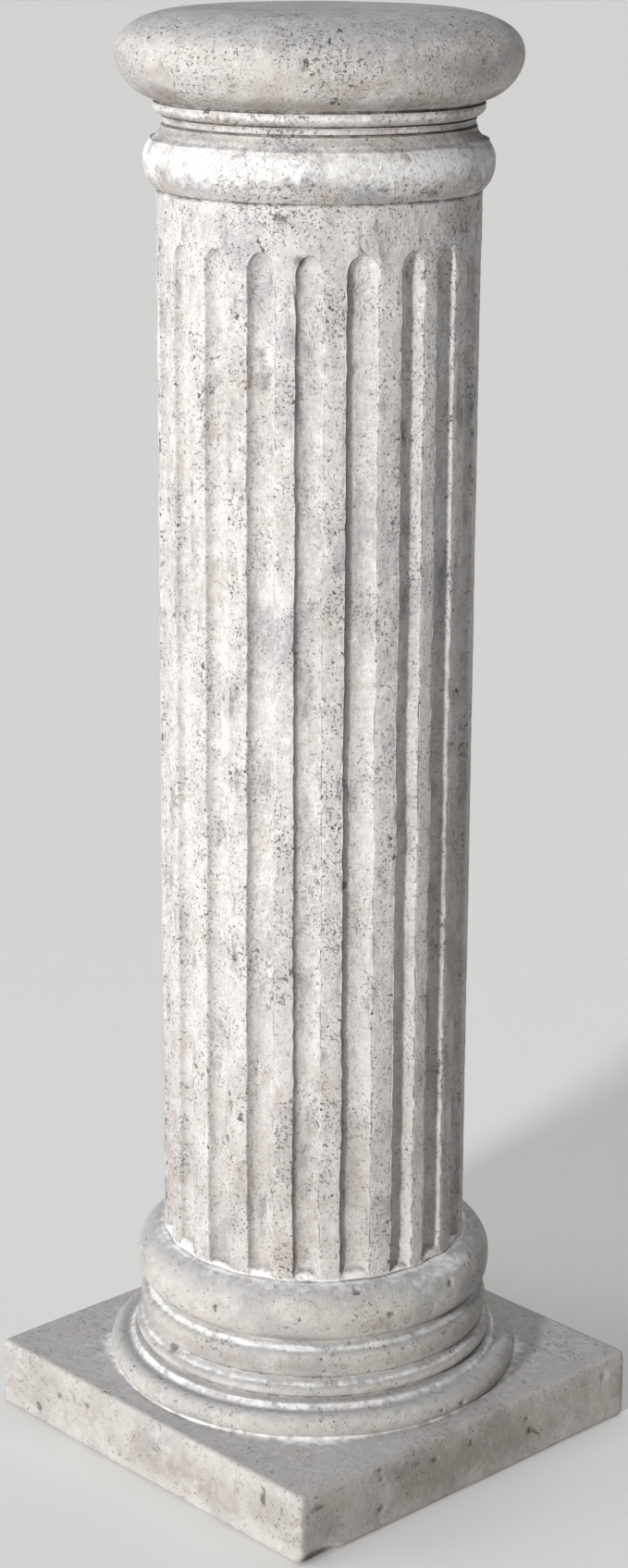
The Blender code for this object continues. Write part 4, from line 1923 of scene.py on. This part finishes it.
    def deposits(self, seam: float, seat: Row) -> list[Deposit]:
        """What has settled on the base.

        Args:
            seam: The radius at which the lower torus meets the plinth's top.
            seat: The row at which the upper torus meets the ledge.

        Returns:
            Wash in the crevices and on the bed, grime and painted shade in the undercuts and under
            the upper torus, and umber on what stands out.
        """
        low, high = self.lower_band, self.upper_band
        between = (low[1] + self.upper_band_foot) / 2
        upper_middle = (high[1] + self.upper_band_foot) / 2
        return [
            Deposit(seam, self.plinth_height, 0.0016, wash=0.72),
            Deposit(seam + 0.003, self.plinth_height, 0.0120, wash=0.28),
            Deposit(self.fillet[0] - 0.0010, self.fillet[1] - 0.0010, 0.0030, wash=0.72),
            # The grime lines at the bands' feet and at the torus's seat are grime and painted shade
            # in the undercuts.
            Deposit(low[0] - 0.0025, self.lower_band_foot - 0.0002, 0.0010, grime=0.80),
            Deposit(low[0] - 0.0030, between, 0.0024, wash=0.90),
            Deposit(high[0] - 0.0025, self.upper_band_foot + 0.0002, 0.0011, grime=0.85),
            Deposit(high[0] - 0.0030, high[1] + 0.0012, 0.0026, wash=0.92),
            Deposit(seat.radius, seat.height, 0.0013, grime=0.85),
            Deposit(high[0] + self.upper_band_roll, upper_middle, 0.0070, umber=0.60),
            Deposit(seat.radius + 0.007, seat.height + 0.003, 0.0080, umber=0.66),
            Deposit(self.side / 2, self.plinth_height / 2, 0.0300, umber=0.58),
            Deposit(0.098, self.bed, 0.0024, wash=0.78),
            Deposit(0.101, self.bed, 0.0080, wash=0.44),
        ]

    def rows(self) -> list[Row]:
        """The profile's rows, from the middle of the underside to the middle of the bed.

        Returns:
            The rows with what has settled on them.
        """
        torus = self.torus_rows()
        seam = torus[0].radius
        bands = self.band_rows(torus[-1])
        under = arc_rows(
            self.upper_torus, self.torus_lower_radii, -90, 0, self.spacing, self.torus_fullness
        )
        ledge_end = self.upper_band[0] - self.ledge_inset
        seat = next(row for row in under if row.radius > ledge_end)
        ledge = [
            (bands[-1].radius, bands[-1].height, 0.0),
            (seat.radius - 0.0012, seat.height - 0.0004, 0.0),
        ]
        rows = self.face_rows() + self.top_rows(seam) + torus + bands
        rows += line_rows(ledge, self.spacing)
        rows += [row for row in under if row.radius >= seat.radius]
        rows += self.crown_rows()
        soft = soften(rows, self.plinth_height + 0.004, seat.height + 0.003, 1)
        return settle(soft, self.deposits(seam, seat))


@dataclass(frozen=True)
class Camera:
    """The photograph's camera, solved from the plinth's corners and the turned rings."""

    azimuth: float = CAMERA_AZIMUTH
    distance: float = 1.9098
    height: float = 0.9968
    pitch: float = 16.547
    yaw: float = -0.034
    roll: float = -0.298
    lens: float = 73.54

    def build(self) -> bpy.types.Object:
        """Place the camera.

        Returns:
            The scene's camera.
        """
        data = bpy.data.cameras.new("photo_camera")
        data.sensor_width = 36.0
        data.lens = self.lens
        pitch, yaw, roll = radians(self.pitch), radians(self.yaw), radians(self.roll)
        forward = Vector((sin(yaw) * cos(pitch), cos(yaw) * cos(pitch), -sin(pitch)))
        right = Vector((cos(yaw), -sin(yaw), 0.0))
        down = forward.cross(right)
        tilted_right = cos(roll) * right + sin(roll) * down
        tilted_down = -sin(roll) * right + cos(roll) * down
        axes = Matrix((tilted_right, -tilted_down, -forward)).transposed().to_4x4()
        axes.translation = (0.0, -self.distance, self.height)
        camera = bpy.data.objects.new("photo_camera", data)
        camera.matrix_world = Matrix.Rotation(radians(self.azimuth), 4, "Z") @ axes
        bpy.context.scene.collection.objects.link(camera)
        bpy.context.scene.camera = camera
        return camera


@dataclass(frozen=True)
class Sun:
    """One soft studio light, placed by its angles as seen from the pedestal."""

    name: str
    left_of_camera: float
    elevation: float
    strength: float
    softness: float
    colour: str

    def build(self, azimuth: float) -> bpy.types.Object:
        """Place the light.

        Args:
            azimuth: The camera's azimuth in degrees.

        Returns:
            The light.
        """
        data = bpy.data.lights.new(self.name, "SUN")
        data.energy = self.strength
        data.angle = radians(self.softness)
        data.color = linear(self.colour)[:3]
        light = bpy.data.objects.new(self.name, data)
        around = radians(azimuth - self.left_of_camera)
        up = radians(self.elevation)
        towards = Vector((sin(around) * cos(up), -cos(around) * cos(up), sin(up)))
        light.matrix_world = towards.to_track_quat("Z", "Y").to_matrix().to_4x4()
        bpy.context.scene.collection.objects.link(light)
        return light


SUNS = (
    Sun("key_softbox", 31.0, 15.0, 2.95, 6.0, "fffefc"),
    Sun("side_window", 85.0, 14.0, 1.5, 45.0, "fcfdff"),
    Sun("overhead", 210.0, 76.0, 1.4, 60.0, "ffffff"),
)


@dataclass(frozen=True)
class Studio:
    """The pale floor and the even light around it.

    The floor is seamless studio paper: matt and even, so the eye sees one soft shadow on it.
    """

    floor_size: float = 80.0
    floor_colour: str = "e6e6e5"
    floor_glow: float = 0.02
    surround: float = 0.02

    def build(self) -> None:
        """Lay the floor, light the surround and choose a plain view transform."""
        half = self.floor_size / 2
        mesh = bpy.data.meshes.new("studio_floor")
        corners = [(-half, -half, 0.0), (half, -half, 0.0), (half, half, 0.0), (-half, half, 0.0)]
        mesh.from_pydata(corners, [], [(0, 1, 2, 3)])
        paper = bpy.data.materials.new("pale_paper")
        paper.use_nodes = True
        shader = paper.node_tree.nodes["Principled BSDF"]
        shader.inputs["Base Color"].default_value = linear(self.floor_colour)
        shader.inputs["Roughness"].default_value = 0.95
        shader.inputs["Emission Color"].default_value = linear(self.floor_colour)
        shader.inputs["Emission Strength"].default_value = self.floor_glow
        mesh.materials.append(paper)
        floor = bpy.data.objects.new("studio_floor", mesh)
        bpy.context.scene.collection.objects.link(floor)
        world = bpy.data.worlds.new("studio_surround")
        world.use_nodes = True
        background = world.node_tree.nodes["Background"]
        background.inputs["Color"].default_value = (1.0, 1.0, 1.0, 1.0)
        background.inputs["Strength"].default_value = self.surround
        bpy.context.scene.world = world
        bpy.context.scene.view_settings.view_transform = "Standard"


def dress(piece: bpy.types.Object, node: str) -> None:
    """Tie a finished piece to the frame and report it.

    Args:
        piece: The finished piece.
        node: The CAD node that it stands for.
    """
    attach(piece, "root")
    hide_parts(node)
    triangles = sum(len(face.vertices) - 2 for face in piece.data.polygons)
    LOG.info("%s: %d triangles, stands for %s", piece.name, triangles, node)


def main() -> None:
    """Build the pedestal's pieces in order, then its camera, lights and floor."""
    logging.basicConfig(level=logging.INFO, format="%(name)s: %(message)s")
    camera = Camera()
    camera.build()
    column_stone = AGED_COLUMN.material()
    base_stone = WASHED_BASE.material()
    dress(Shaft().build(column_stone), "column")
    dress(Capital(seed=11.0).build(AGED_CAPITAL.material()), "column")
    base = Base(grain_depth=0.0002, pit_spacing=0.012, pit_share=0.12, seed=31.0)
    dress(base.build(base_stone), "base")
    for sun in SUNS:
        sun.build(camera.azimuth)
    Studio().build()


if __name__ == "__main__":
    main()
